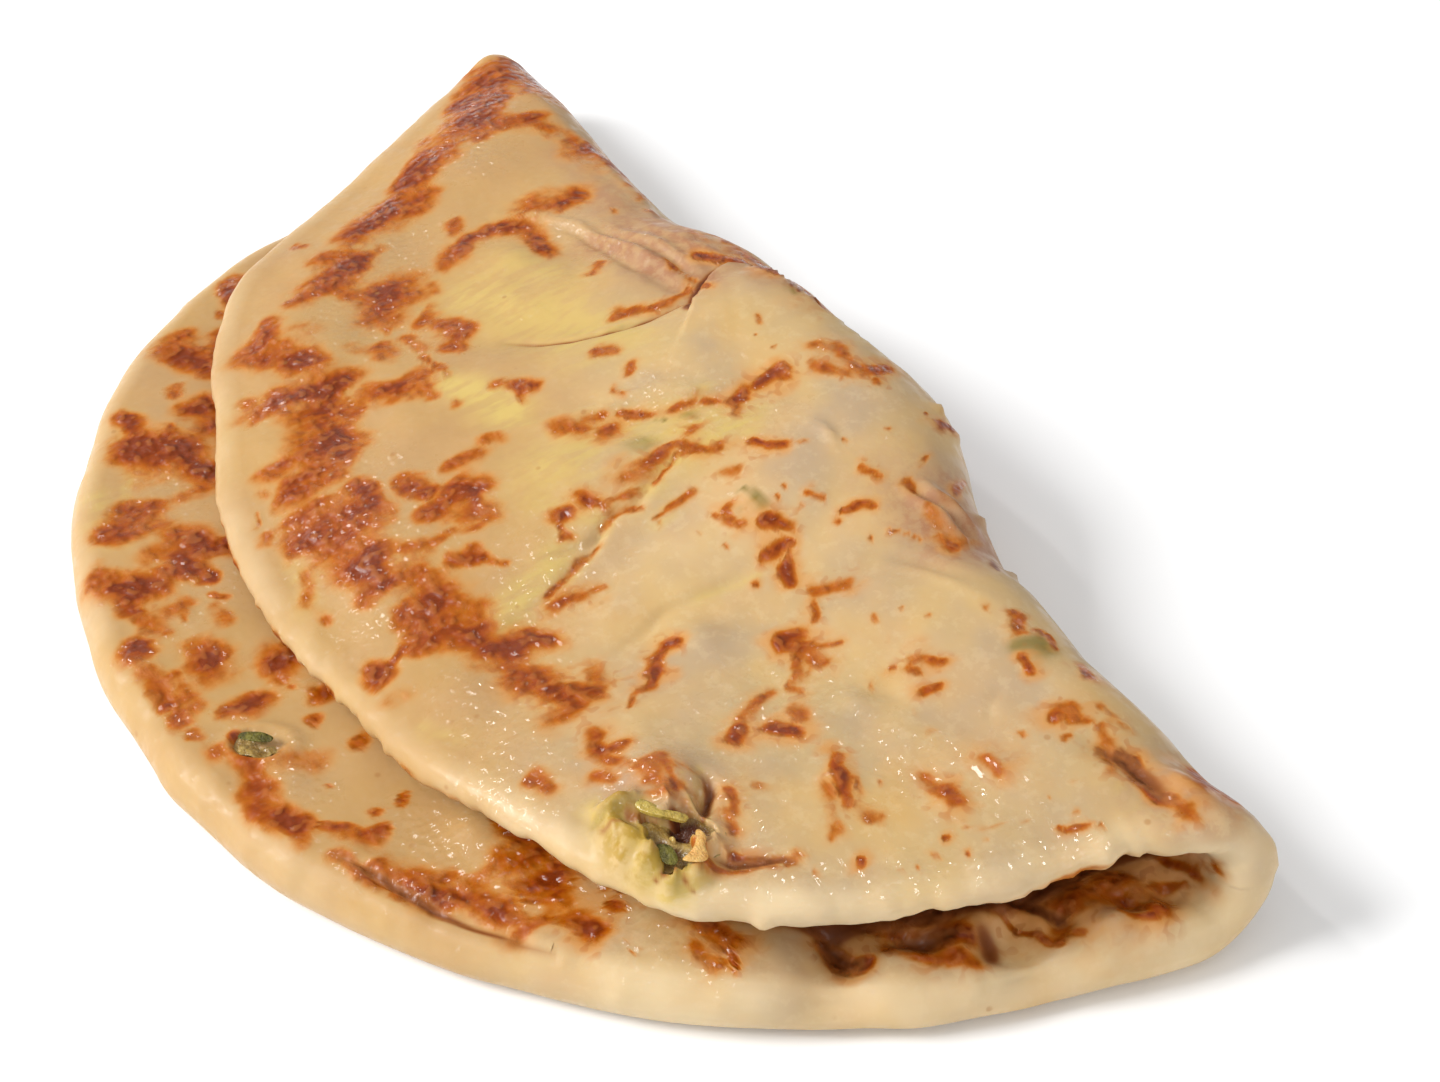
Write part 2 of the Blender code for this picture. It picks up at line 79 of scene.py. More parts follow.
# Marks in the flat round of dough: both ends, half width and strength, in millimetres
BROWN_OUTSIDE = (
    (11.8, 39.5, 13.6, 46, 0.5, 0.7), (15.9, 49.5, 17.2, 55, 0.55, 0.75), (19.3, 56.9, 23, 63.5, 0.5, 0.65),
    (-112.5, 10.3, -99.9, 19, 2.63, 1), (-106.5, 11, -93.1, 18.3, 1.76, 1),
    (-99.2, 17.6, -91.4, 20.8, 1.66, 0.9), (-106.6, 17.9, -94.4, 22.6, 1.69, 0.85),
    (-91.1, 15.7, -89, 12.1, 1.34, 1), (-89, 11.6, -83.5, 10.4, 0.99, 1),
    (-93.7, 23, -90.2, 27.9, 1.86, 0.8), (-91.4, 28.6, -88.1, 32.6, 2.08, 0.85),
    (-88.4, 33.2, -85.4, 37.6, 1.77, 1), (-99.1, 28.9, -95, 27.5, 1.55, 0.4),
    (-79.3, 36.5, -78.1, 40.5, 1.86, 0.8), (-80.7, 41.7, -81.7, 41.7, 1.86, 0.95),
    (-80.7, 42.5, -75.8, 50.4, 1.8, 0.9), (-77.5, 42.2, -77.7, 45.3, 1.86, 0.75),
    (-69.4, 55.3, -68.3, 53.5, 1.83, 0.95), (-69.1, 48.8, -70.1, 48.5, 0.84, 0.5),
    (-63.7, 22.2, -62.5, 21.2, 2.04, 0.8), (-61.1, 18.8, -61.5, 15.3, 1.88, 1),
    (-51.5, 13.9, -53.2, 13.1, 0.76, 0.4), (-67.3, 35.4, -68.8, 35, 1.19, 0.6),
    (-59.6, 36.7, -61.4, 34.2, 1.39, 0.9), (-61.1, 33.5, -60.7, 30.2, 1.22, 0.8),
    (-60.3, 29.1, -58.5, 27.3, 1.6, 1), (-54.7, 26.4, -47.4, 26.9, 1.16, 0.95),
    (-58.7, 40.7, -61.5, 38.5, 1.43, 0.55), (-81.7, 9.5, -77.1, 9.2, 0.71, 0.7),
    (-75.8, 7.3, -69.7, 6.3, 2.03, 0.85), (-101.7, 7.6, -95.1, 6.3, 1.57, 0.6),
    (-116.5, 5, -103.6, 6.1, 1.04, 0.85), (-38.7, 26, -36.4, 29.2, 0.78, 0.7),
    (-27, 21.7, -28.1, 21.1, 0.46, 0.8), (-82.3, 59.2, -80.8, 58, 0.67, 0.6),
    (-72.1, 57.7, -69.7, 55.8, 1.78, 0.85), (-69.1, 54.7, -67.8, 53.5, 1.54, 1),
    (-67.6, 58, -65.8, 56.5, 1.76, 0.7), (-65.1, 64.4, -65.3, 61.3, 1.73, 0.85),
    (-65.1, 60, -65.3, 57.7, 1.76, 0.7), (-59.7, 59.2, -61.5, 58.6, 1.05, 0.6),
    (-56.8, 53.8, -56.3, 51.1, 2.86, 0.8), (-53.4, 54, -55.3, 52.7, 2.16, 1),
    (-52.4, 56.9, -53.8, 55.1, 2.05, 0.75), (-50.3, 57, -47.2, 57.7, 0.53, 0.6),
    (-41.8, 60.6, -43.8, 60, 1.31, 0.85), (-45.4, 63.4, -46.5, 63.1, 0.94, 0.4),
    (-43.5, 55.5, -37.7, 55.6, 0.93, 0.7), (-46.8, 48.7, -48.8, 48.1, 0.83, 0.5),
    (-53.4, 46.1, -55.1, 45.6, 0.86, 0.45), (-45.3, 50, -38.6, 50.2, 1.19, 0.8),
    (-38.6, 50.4, -37.5, 49.7, 1.49, 0.8), (-35.7, 52.9, -33.5, 50.7, 0.93, 0.7),
    (-35.5, 57, -28.6, 56.3, 0.59, 0.6), (-55.8, 76, -51, 73.2, 2.31, 0.9),
    (-52.8, 75.3, -47.9, 73.4, 2.14, 0.8), (-50.7, 72.8, -44.8, 71, 1.72, 0.75),
    (-54.8, 72.6, -52.2, 73, 0.84, 0.9), (-39, 71.5, -38.6, 69.3, 1.77, 1),
    (-41.6, 74.2, -41.8, 71.1, 1.79, 0.75), (-40.5, 78.8, -39.9, 74.6, 2, 0.95),
    (-39.5, 74.1, -37.6, 71, 1.83, 0.85), (-33.8, 73.1, -32.4, 71.1, 1.39, 1),
    (-32.1, 70.1, -31, 68.9, 1.48, 0.85), (-32.6, 65.8, -30.1, 63.7, 1.39, 0.95),
    (-29.8, 63.1, -27.2, 60.9, 1.09, 0.85), (-29.3, 60.1, -25.2, 60.8, 0.59, 0.8),
    (-31.2, 60.2, -30.4, 59.7, 1.27, 0.7), (-45.1, 82.2, -39.2, 83.2, 0.92, 0.65),
    (-41.4, 84.7, -39.1, 83.8, 1.24, 0.4), (-35.2, 77.5, -28.9, 76.3, 1.59, 0.65),
    (-32.8, 75.2, -22.9, 75.2, 2.1, 0.95), (-28.3, 78.3, -28, 75.1, 2.33, 0.7),
    (-22.2, 77.4, -22.2, 80, 2.31, 0.85), (-26.7, 75.7, -20.4, 75.4, 1.4, 1),
    (-20, 58.9, -21.5, 58.6, 0.66, 0.45), (-18.6, 50.5, -15.7, 48.9, 0.88, 0.85),
    (-17.2, 50.3, -14.4, 50.8, 0.53, 0.8), (-20.3, 53.1, -20.2, 52.2, 0.79, 0.6),
    (-8.2, 58.2, -7.8, 57.3, 0.68, 0.8), (-7.5, 64, -6.9, 61, 1.11, 0.65),
    (-59.5, 74, -61.9, 71.6, 1.27, 0.95), (-55.1, 68, -55.2, 67.3, 1.65, 0.5),
    (-25.5, 87.3, -25.3, 84.5, 1.27, 0.9), (-20.2, 84.6, -18.6, 81.2, 1.48, 0.9),
    (-18.2, 86.4, -17.9, 84.8, 1.18, 0.85), (-18.2, 83.6, -19.2, 79.2, 2.01, 0.75),
    (-21.7, 79.4, -22.7, 76.2, 2.36, 0.85), (-20.7, 89.9, -21.3, 89.8, 0.66, 0.35),
    (-16.1, 92.2, -18.3, 91.9, 0.31, 0.5), (-11.9, 92, -12.6, 91.9, 0.78, 0.85),
    (-9.7, 87.5, -8.8, 85.8, 1.87, 1), (-6.5, 88.7, -4.6, 85.4, 1.56, 0.85),
    (-10.4, 85.1, -9.6, 81.8, 1.88, 0.7), (-11.7, 81.7, -6.2, 79.2, 1.86, 0.7),
    (-7.1, 79.6, -2.6, 78.3, 1.53, 0.85), (-13.1, 77.2, -5, 76.4, 1.15, 1.05),
    (-3, 84.6, 1.7, 80.7, 2.21, 0.95), (1.2, 85.6, 4.9, 82.6, 1.93, 1),
    (-4.4, 84.4, -3.5, 82.7, 1.83, 0.85), (0.6, 79.7, 5.8, 81.6, 1.07, 0.9),
    (-1.9, 90.8, 2.3, 92.4, 0.79, 0.6), (3.1, 93.3, 7.3, 91.9, 0.79, 0.35),
    (9.4, 91.8, 8.8, 91.7, 0.59, 0.5), (-9.1, 71.2, -5.1, 68.6, 1.03, 1),
    (-2.6, 65.5, -0.7, 63.8, 1.31, 0.85), (-0.5, 65, 3.4, 66.2, 0.92, 1),
    (0.3, 69.9, -0.2, 67.5, 1.56, 0.8), (4.4, 65.9, 4, 66, 1.38, 1), (4.3, 64.9, 4.1, 63.8, 0.86, 0.6),
    (5.6, 75.7, 6, 73.7, 0.96, 0.8), (6.1, 73.2, 5.8, 69.7, 0.6, 0.75), (5.9, 69.3, 6.6, 67.2, 0.6, 0.6),
    (10.7, 69, 9.9, 68.8, 0.66, 0.55), (10.2, 71.8, 12, 68.9, 0.74, 0.8),
    (12.2, 68.7, 15.1, 66.2, 0.51, 0.7), (9.2, 85, 9.5, 81, 1.15, 0.9), (9.1, 80.2, 9.9, 77.1, 1.3, 0.8),
    (9.1, 78, 14, 75.8, 1.56, 0.8), (12.4, 78, 16.9, 76.4, 1.52, 0.85), (15.8, 76.3, 19.1, 73, 1.4, 0.85),
    (14.1, 80.7, 15.1, 82.5, 0.91, 0.8), (16.3, 82.1, 16.5, 78.8, 1.35, 0.6),
    (18, 79.6, 21.1, 75, 2.05, 0.65), (20.9, 80.1, 23.4, 74.7, 2.08, 0.75),
    (24.4, 76, 28.7, 75.2, 1.71, 0.9), (22.2, 83.5, 22.2, 80.1, 1.18, 0.65),
    (19.9, 73.1, 23.3, 73.2, 0.86, 0.75), (28.7, 74.6, 29.3, 72.2, 1.61, 0.85),
    (29.5, 71.3, 29, 68.9, 1.43, 0.9), (27.6, 67.8, 30.4, 66.9, 1.2, 1),
    (30.6, 74.1, 31.5, 72.3, 1.07, 0.7), (23.1, 90.4, 22.1, 90.2, 1.1, 1.05),
    (22.8, 88.8, 20.9, 84, 0.46, 0.7), (34.2, 74.3, 36.6, 72.7, 1.93, 1), (38.9, 73, 43.2, 71.7, 1.86, 0.9),
    (31.7, 77.8, 33.6, 75.7, 1.16, 0.45), (29.5, 89.3, 28.8, 90, 1.31, 0.4),
    (62, -89.7, 63.7, -87.9, 0.88, 0.85), (62.9, -91.4, 66, -87.6, 1.04, 0.85),
    (66.2, -87.3, 69.4, -84, 0.84, 0.9), (65.4, -89.8, 68.4, -87.8, 0.68, 1),
    (55.3, -96.2, 61.3, -92.5, 0.65, 0.8), (70.9, -81.8, 70.4, -81.6, 0.84, 0.6),
    (74.1, -76.6, 74.3, -76.5, 0.46, 0.7), (77.7, -72.7, 77.5, -72.9, 0.46, 0.5),
    (72.5, 44.8, 80, 48.7, 1.1, 1.1), (76.7, 49.6, 83.2, 53.2, 1.23, 0.5),
    (80.3, 47.7, 83.4, 47.3, 1.57, 0.5), (77.4, 45.2, 79.3, 45.8, 0.8, 0.65),
    (77.8, 51.4, 83.8, 54.7, 0.79, 0.4), (82.7, 53.5, 82.4, 53.2, 0.68, 0.6),
    (84.9, 36.2, 87.7, 36.7, 1.27, 1.1), (81.6, 36.5, 83.5, 36.8, 1.2, 0.55),
    (84.1, 37.6, 86.2, 37.3, 1.24, 0.7), (83.5, 28.2, 85.6, 28.4, 1.55, 0.85),
    (89.9, 15.8, 90.7, 15.5, 1.53, 0.75), (93.4, 13.6, 98, 13.4, 0.88, 1.1),
    (98.2, 13.2, 103.5, 12.6, 0.79, 1), (96.1, 5.6, 100.2, 7.9, 2.01, 0.75),
    (99.8, 6.2, 103.8, 7, 2.06, 0.55), (92, 40.2, 91.9, 40, 0.48, 0.8), (94.7, 39.7, 94.6, 39.6, 0.49, 0.8),
    (93, 43.3, 93.1, 43.4, 0.59, 0.5), (93.6, 45.8, 93.4, 45.7, 0.42, 0.7),
    (93, 48.2, 92.9, 48.5, 0.41, 0.6), (89.9, 52.4, 89.7, 52.3, 0.96, 0.95),
    (94.5, 35.8, 94.4, 35.8, 0.34, 0.5), (91.6, 37.7, 95.4, 30.3, 0.38, 0.45),
    (98.3, 27.2, 100.1, 22.1, 0.43, 0.75), (97.6, 23.2, 97.4, 22.9, 0.65, 0.7),
    (93.9, 25.9, 93.8, 25.8, 0.43, 0.5), (88, 58.7, 87.8, 58.6, 0.66, 0.4),
    (84.9, 61.2, 84.7, 61.1, 0.71, 0.8), (102.8, -4.5, 106.8, -3.3, 0.67, 0.65),
    (7.3, 27, 6.8, 23.2, 1.11, 1), (6.5, 30.6, 6.5, 29.6, 1.52, 0.95), (9, 32.1, 8, 31.2, 0.69, 0.8),
    (8.1, 24.3, 8.5, 23.5, 0.76, 0.7), (5.3, 17.9, 6.7, 16.6, 1.55, 0.6), (6.8, 15, 9.3, 15.5, 1.22, 0.8),
    (8.4, 18.8, 11.4, 16.8, 1.35, 0.65), (10.7, 15.1, 11.5, 14.5, 1.64, 0.8),
    (14.2, 15.2, 15.5, 15.4, 0.91, 0.9), (11.7, 13.1, 11.9, 11.3, 1.18, 0.9),
    (12.1, 18, 12.7, 16.1, 0.84, 0.7), (23.2, 11.1, 23.7, 11.4, 0.57, 0.9), (24, 8.9, 25.1, 9.7, 0.69, 0.8),
    (15.6, 33.7, 18.3, 32.9, 0.59, 0.95), (18, 32.6, 19, 30.7, 0.81, 0.9),
    (20, 28.4, 20.8, 27.2, 0.58, 0.4), (28.5, 21.3, 31.5, 18.7, 0.61, 1),
    (27.9, 29.2, 30.8, 26.9, 0.63, 0.75), (17.4, 37.8, 18.7, 36.2, 1.18, 0.75),
    (24.7, 41, 28.1, 38.1, 0.88, 0.85), (24.5, 39.1, 26.3, 38.2, 0.69, 0.7),
    (30.3, 35.6, 32.9, 31.5, 1.07, 0.9), (34.3, 36.4, 36, 31.8, 0.86, 0.9),
    (38, 33.1, 41.2, 33.6, 1.02, 0.9), (44.4, 31.5, 45.8, 26.6, 1.1, 0.85),
    (38.2, 38.4, 37.6, 38.6, 0.79, 0.6), (33.8, 24.8, 36.3, 20.1, 0.64, 0.75),
    (41.7, 18.2, 44.3, 14.4, 0.61, 0.75), (33.8, 15, 36.5, 13.8, 0.78, 0.6),
    (30.6, 30.5, 29.9, 30.9, 0.48, 0.6), (35.3, 25.9, 34.7, 26.3, 0.53, 0.5),
    (27.6, 34.1, 27, 34.4, 0.37, 0.5), (25.9, 32.6, 25.2, 32.9, 0.49, 0.45),
    (41.1, 21.5, 40.6, 21.7, 0.55, 0.5), (-4.9, 20.2, -6.1, 19.6, 0.91, 0.45),
    (2.3, 22.9, 1.8, 22.7, 0.44, 0.5), (-1.5, 22.8, -2.1, 22.5, 0.46, 0.4),
    (-2.2, 14.1, -1.1, 14.6, 0.42, 0.4), (25.7, 16.1, 25.1, 16.3, 0.55, 0.6),
    (23.6, 22.4, 23, 22.5, 0.44, 0.6), (30.5, 12.8, 31.2, 12.7, 0.51, 0.7),
    (44.7, 11.3, 47.9, 10, 0.72, 0.9), (33.8, 6.4, 36, 7.6, 0.72, 0.8), (30.2, 42, 29.5, 42.4, 0.6, 0.5),
    (26.8, 44.6, 26, 44.8, 0.41, 0.5), (18.6, 46.4, 18, 42.7, 0.85, 0.6),
    (18.6, 46.2, 19.2, 48.8, 0.66, 0.5), (21.5, 48.7, 20.6, 48.8, 0.58, 0.4),
    (-8.4, 38.5, -9.6, 38.2, 0.66, 0.6), (-3.7, 49.2, -1.7, 48, 1.26, 0.95),
    (-3.3, 46.9, -2.9, 45.2, 0.99, 0.75), (1.1, 45.7, 1.1, 45.7, 1.52, 0.8),
    (-0.2, 41.9, 0.5, 40.9, 1.06, 0.75), (2.9, 37.3, 2.9, 36.2, 1.11, 0.65),
    (4.1, 34.5, 5.2, 33, 0.84, 0.6), (8.3, 39.3, 8.2, 38.9, 1.34, 0.8),
    (10.2, 47.6, 10.8, 43.8, 1.51, 0.75), (10.1, 43.1, 10.5, 41.5, 1.15, 0.8),
    (11.4, 41.1, 13, 36.6, 1.09, 0.85), (11.5, 40.5, 12.3, 38.9, 0.92, 0.95),
    (10.1, 53.8, 14.6, 52.1, 1.05, 0.9), (13.1, 51, 13.2, 48.7, 1.04, 0.75),
    (12.1, 58, 12.4, 56.6, 0.92, 0.85), (13.3, 58.3, 15.8, 59.1, 0.48, 0.7),
    (25.4, 62.7, 26, 59.8, 1.19, 1), (26, 59.2, 25.9, 56.8, 0.62, 0.7), (42.5, 68.3, 44, 66.6, 2.07, 0.95),
    (39.5, 64.6, 42.9, 64.6, 1.84, 0.75), (40.5, 64, 45.6, 65.2, 1.09, 0.7),
    (39.1, 72.3, 45.2, 71.1, 2.34, 0.75), (46.1, 74.1, 47.1, 72, 2.23, 0.55),
    (52.2, 71.1, 55.7, 70.9, 1.32, 0.85), (56.6, 70.6, 57.1, 68.7, 1.04, 0.75),
    (57.3, 71, 61, 70.8, 1.33, 0.6), (59.9, 73.9, 62.7, 72.7, 1.17, 0.6), (40.8, 53.8, 41.4, 53, 1.17, 0.9),
    (40.9, 54.4, 45.6, 58.6, 1.19, 0.9), (45.4, 57.6, 48.3, 60.8, 0.88, 0.85),
    (48.2, 60.3, 49.8, 64.2, 0.69, 0.8), (45.9, 32.9, 48.4, 33.6, 0.88, 0.8),
    (50.1, 38.6, 49.5, 36.7, 1.55, 0.85), (50.5, 39.7, 51.9, 37, 1, 0.9),
    (52.5, 36.8, 54.1, 32.6, 0.76, 0.75), (52.7, 36.3, 56.8, 36.1, 1.43, 0.8),
    (52.6, 37.9, 56.3, 40.3, 1.19, 0.75), (56.1, 40.2, 59.4, 42.8, 0.86, 0.75),
    (56, 38.1, 58.5, 40.5, 0.92, 0.5), (60.3, 42.6, 59.6, 42.1, 1.06, 0.9),
    (59, 48.9, 58.4, 45.8, 1.43, 0.7), (62.2, 52.5, 63.5, 55.1, 1.42, 0.95),
    (59.8, 49.9, 61.1, 52, 1.26, 0.7), (64.5, 49, 66.1, 47.4, 1.39, 1.1),
    (63.7, 44.9, 64.6, 44.4, 1.71, 0.5), (63.1, 68.7, 69.1, 69.6, 1.81, 0.45),
    (66.8, 67, 70.1, 67.9, 1.08, 0.7), (63, 67, 65.1, 66.8, 1.65, 0.55), (72.5, 60.9, 74.8, 62, 1, 1),
    (74.5, 62.9, 77.1, 63.8, 1.08, 0.75), (72.2, 56.9, 71.9, 56.6, 0.84, 0.4),
    (85, 46.5, 84.4, 46, 1.08, 0.45), (80.2, 42.4, 79.9, 42.1, 0.73, 0.55),
    (53.6, 26.5, 53.1, 26.4, 0.61, 0.35), (57.7, 27.1, 57.2, 26.9, 0.59, 0.3),
    (63.6, 29.6, 63.2, 29.4, 0.67, 0.8), (64.6, 33.3, 64.2, 33, 0.76, 0.5),
    (54.3, 80.7, 56.6, 79.6, 1.01, 0.65), (78.7, 69.1, 78.5, 69, 0.7, 0.9),
    (80.7, 65.8, 84.6, 60.2, 0.75, 0.9), (83.8, 59.5, 84.9, 58.9, 0.77, 0.6),
    (63.3, 26.6, 64.8, 24.1, 1.23, 0.85), (65.1, 27.8, 66, 27.4, 1.16, 0.6),
    (69.9, 28.4, 70, 26.5, 0.91, 0.85), (72.1, 31.7, 71.7, 31.3, 0.88, 0.35),
    (75.6, 31.9, 75.2, 31.5, 0.72, 0.4), (53.5, 27, 52.9, 26.8, 0.6, 0.4),
    (54.5, 22.3, 54, 22.2, 0.6, 0.45), (58.8, 19.9, 58.3, 19.8, 0.73, 0.35),
    (61.4, 13.3, 60.7, 13, 0.6, 0.6), (63.3, 11, 67.2, 11.8, 0.82, 0.7), (71.2, 13.4, 74.4, 13.7, 0.9, 0.9),
    (67.7, 10.1, 72.7, 9.8, 0.47, 0.9), (76.5, 8.4, 79, 9.1, 0.96, 0.75),
    (81.7, 17.1, 82.6, 14.8, 1.3, 0.95), (83.6, 15.5, 85.2, 14.3, 0.91, 0.8),
    (84.1, 11.3, 86.6, 10.5, 0.87, 0.6), (86.8, 11.2, 88.7, 11, 0.97, 0.65),
    (87.6, 13.4, 93.2, 16.3, 1.37, 0.75), (85.9, 19.1, 85.8, 17.6, 0.68, 0.6),
    (81.9, 22.4, 81.5, 22.1, 0.49, 0.5), (93.2, 20.7, 92.8, 20.3, 0.78, 0.35),
    (100.7, 19, 100.9, 19.1, 0.35, 0.4), (89.3, 15.6, 101.3, 13.1, 0.82, 0.9),
    (93.1, 13.4, 96.6, 12.8, 0.94, 0.99), (-50.5, 8.2, -31.8, 13.9, 0.71, 0.45),
    (-26.8, 14.3, -15.7, 12.8, 0.82, 0.72), (-29.6, 21.4, -22.3, 21.1, 0.71, 0.54),
    (39.7, 12.2, 47.8, 9.1, 0.82, 0.54), (63.4, 69.9, 68, 63.5, 1.06, 0.45),
    (67.1, 70.5, 71.2, 65.5, 1.18, 0.5), (68.8, 71.9, 72, 67.5, 0.94, 0.45),
    (80.1, 70.7, 84.2, 62.8, 0.82, 0.63), (77.6, 70.7, 80.6, 68.8, 0.59, 0.63),
    (-65, 6.1, -54.6, 7.6, 0.94, 0.54), (-22, 9.5, -6, 10.5, 2.2, 0.75), (-34, 10, -24, 10, 1.8, 0.55),
    (-110, 3, -95, 2.5, 1.6, 0.7), (-95, 2.5, -80, 3.5, 1.2, 0.5), (-17.7, 22.1, -22.1, 23.2, 0.73, 0.9),
    (-22.1, 23.2, -21.4, 29, 0.84, 0.95), (-21.4, 29, -23.8, 33.8, 0.94, 0.8),
    (-16.5, 39, -13.6, 38.6, 0.84, 0.7), (-7.1, 41.7, -4.3, 40.5, 0.63, 0.6),
    (-28.2, 16.1, -24.1, 13.1, 0.94, 0.95), (-24.1, 13.1, -14.4, 13.2, 0.94, 1),
    (-1.1, 42.8, 1.3, 39.8, 0.73, 0.6), (24.7, 9.5, 22.4, 6.6, 0.63, 1),
)
YELLOW_OUTSIDE = (
    (-46, 41.7, -18.5, 37.5, 7.5, 0.7), (-48.9, 33.1, -40.1, 32, 5.49, 0.6),
    (-26.2, 57.2, -10.2, 53.6, 2.82, 1), (-18.6, 55, -12.4, 53.2, 3.71, 0.9),
    (-19.8, 41.6, -16.5, 34.7, 2.56, 0.7), (2.5, 52.9, 1.3, 50.6, 7.04, 0.7), (3, 43, 6.4, 39, 5.3, 0.9),
    (12.9, 46.5, 10.8, 33.4, 2.65, 0.9), (3.2, 34.5, 13, 34, 2.08, 0.7), (18, 60.7, 21.8, 67.3, 2.47, 0.8),
    (20.7, 69.8, 28.7, 70.3, 1.99, 0.7), (6.6, 59.4, 15.8, 54.3, 1.54, 0.5),
    (19.5, 48.3, 18.5, 48, 2.57, 0.6), (42.6, 86, 37.1, 88, 1.09, 0.4), (14.4, 50.9, 24.5, 63, 0.89, 0.6),
    (11.6, 32.4, 8.6, 28.9, 1.69, 0.5), (67.2, 78, 72.7, 74.9, 1.4, 0.9),
    (35.2, 47.6, 36.6, 37.5, 0.95, 0.5), (-7.4, -117.5, 9.7, -116, 1.04, 0.4),
    (-5.2, 90.9, 5.3, 93.1, 1.73, 0.5), (73.5, 67, 68.4, 65.3, 0.68, 0.8),
    (95.9, 16.5, 101.4, 15.3, 2.01, 0.4), (77.4, -81.4, 74.7, -82.8, 1.56, 0.5),
    (69.2, 76.1, 79.1, 69.6, 1.63, 0.8), (66.1, 78.1, 68.9, 74.3, 1.52, 0.9),
    (67.4, 62.2, 74.6, 66.3, 0.76, 0.8), (70.7, 74.2, 70.7, 74.2, 1.52, 0.6), (2, 11.2, 8.2, 9, 2.66, 0.3),
    (75.3, -84.6, 79.4, -79.5, 1.9, 0.6), (63.6, 77.4, 63.6, 77.4, 1.9, 0.9),
    (67.6, 76.9, 74.4, 75.5, 2.09, 0.9), (77, 69, 79.3, 71.7, 1.52, 0.9), (77, 74.8, 80.5, 73.9, 2, 1),
    (80.4, 72, 80.9, 70.3, 1.8, 0.9), (76.5, 76, 81, 74.8, 1.5, 1), (81.2, 73.5, 81.4, 70.8, 1.3, 0.8),
)
GREEN_OUTSIDE = (
    (69.5, 10.8, 72.5, 10.6, 1.17, 1), (5.5, 44, 8.2, 44.2, 0.9, 0.6), (22.3, 37.6, 25.8, 36.8, 0.38, 1),
    (25.4, 36.9, 28.7, 35.4, 0.36, 0.9), (-61, 73.5, -57.4, 73.3, 1.5, 0.4),
    (24.7, 68.9, 26.7, 72.6, 1.31, 0.35), (3.6, 40, 3, 39.9, 0.3, 1), (4.7, 38, 5.9, 37.5, 0.68, 0.8),
    (-11, 13.6, -7.7, 13.9, 0.82, 1), (68.4, 12.7, 69.7, 12.8, 0.53, 0.5),
    (2.6, 35.4, 4.7, 35.2, 0.84, 0.5), (71.4, 74.5, 71.3, 74.5, 0.76, 0.4),
    (-30.3, 56.2, -27.5, 56.6, 0.48, 0.6), (68.9, 12.4, 73, 10.8, 1.33, 0.9),
    (68.4, 78.6, 68.4, 78.6, 0.57, 0.3), (73.7, 72.2, 73.7, 72.2, 0.76, 0.8),
    (77, 75.2, 80.4, 74, 0.9, 0.35), (68, 77.8, 69.4, 75, 0.7, 0.4), (80.2, 72.2, 80.6, 70.8, 0.7, 0.35),
)
PINK_OUTSIDE = (
    (-76.7, 11.1, -64.4, 9.9, 1.71, 0.5), (-60.4, 11.3, -47.7, 11.4, 2.28, 0.75),
    (-44.5, 19.3, -33, 21.3, 2.28, 0.9), (-44.7, 13, -29, 15.8, 2.66, 0.95),
    (-29.8, 22.9, -21.2, 20.9, 2.09, 1), (-29.2, 15.6, -21.9, 12.1, 2.28, 0.95),
    (-22.1, 13.4, -13.8, 13.1, 1.71, 0.95), (34.5, 14.5, 40.7, 12.4, 2.66, 0.6),
    (38.8, 12.1, 45.9, 9.4, 2.85, 0.95), (43.2, 10, 49.1, 8.5, 1.9, 1), (30.2, 19.7, 37.6, 14.8, 2.28, 0.4),
    (99, 12.5, 103.6, 9.8, 2.28, 0.8), (103.2, 10.8, 101.5, 0.9, 1.52, 0.5),
    (34, 9.2, 38.8, 6.9, 1.26, 0.8), (64.8, 70.7, 69.6, 66, 1.89, 0.55),
)
# Painted shade, darkening the holes of the burst and some grooves
PAINTED_SHADE_OUTSIDE = (
    (73.8, 69, 74.5, 68.9, 1.52, 1), (72.3, 69.8, 75.8, 68.2, 0.76, 0.8),
    (74.3, 73.9, 75.8, 73.7, 0.76, 0.6), (77.3, 72.6, 77.3, 72.6, 0.76, 0.5),
    (70.2, 74.5, 72.1, 72.7, 0.57, 0.5), (91.6, 14.3, 97.1, 13.2, 0.76, 0.6),
    (74.3, 74.1, 77.4, 71.5, 0.57, 0.5), (72.8, 69.9, 75.4, 68.6, 1, 1), (74.6, 73, 75.8, 73.9, 0.6, 0.7),
    (77.4, 71.2, 78, 73.4, 0.45, 0.7), (78.8, 75.6, 79.2, 73.2, 0.35, 0.55),
    (80.3, 73, 81.6, 72.6, 0.3, 0.5), (69.5, 78.6, 70.8, 75.6, 0.35, 0.4),
    (-11.7, 13.3, -8, 13.1, 0.53, 0.7), (39.9, 5.8, 41, 4.9, 0.53, 0.8), (51.5, 7.7, 54.4, 8.5, 0.42, 0.7),
    (38.5, 9.2, 44.8, 7.8, 0.53, 0.45), (36.5, 10.9, 41.4, 8.8, 0.42, 0.4),
    (73.7, 68.5, 75.4, 67.7, 0.73, 0.9),
)
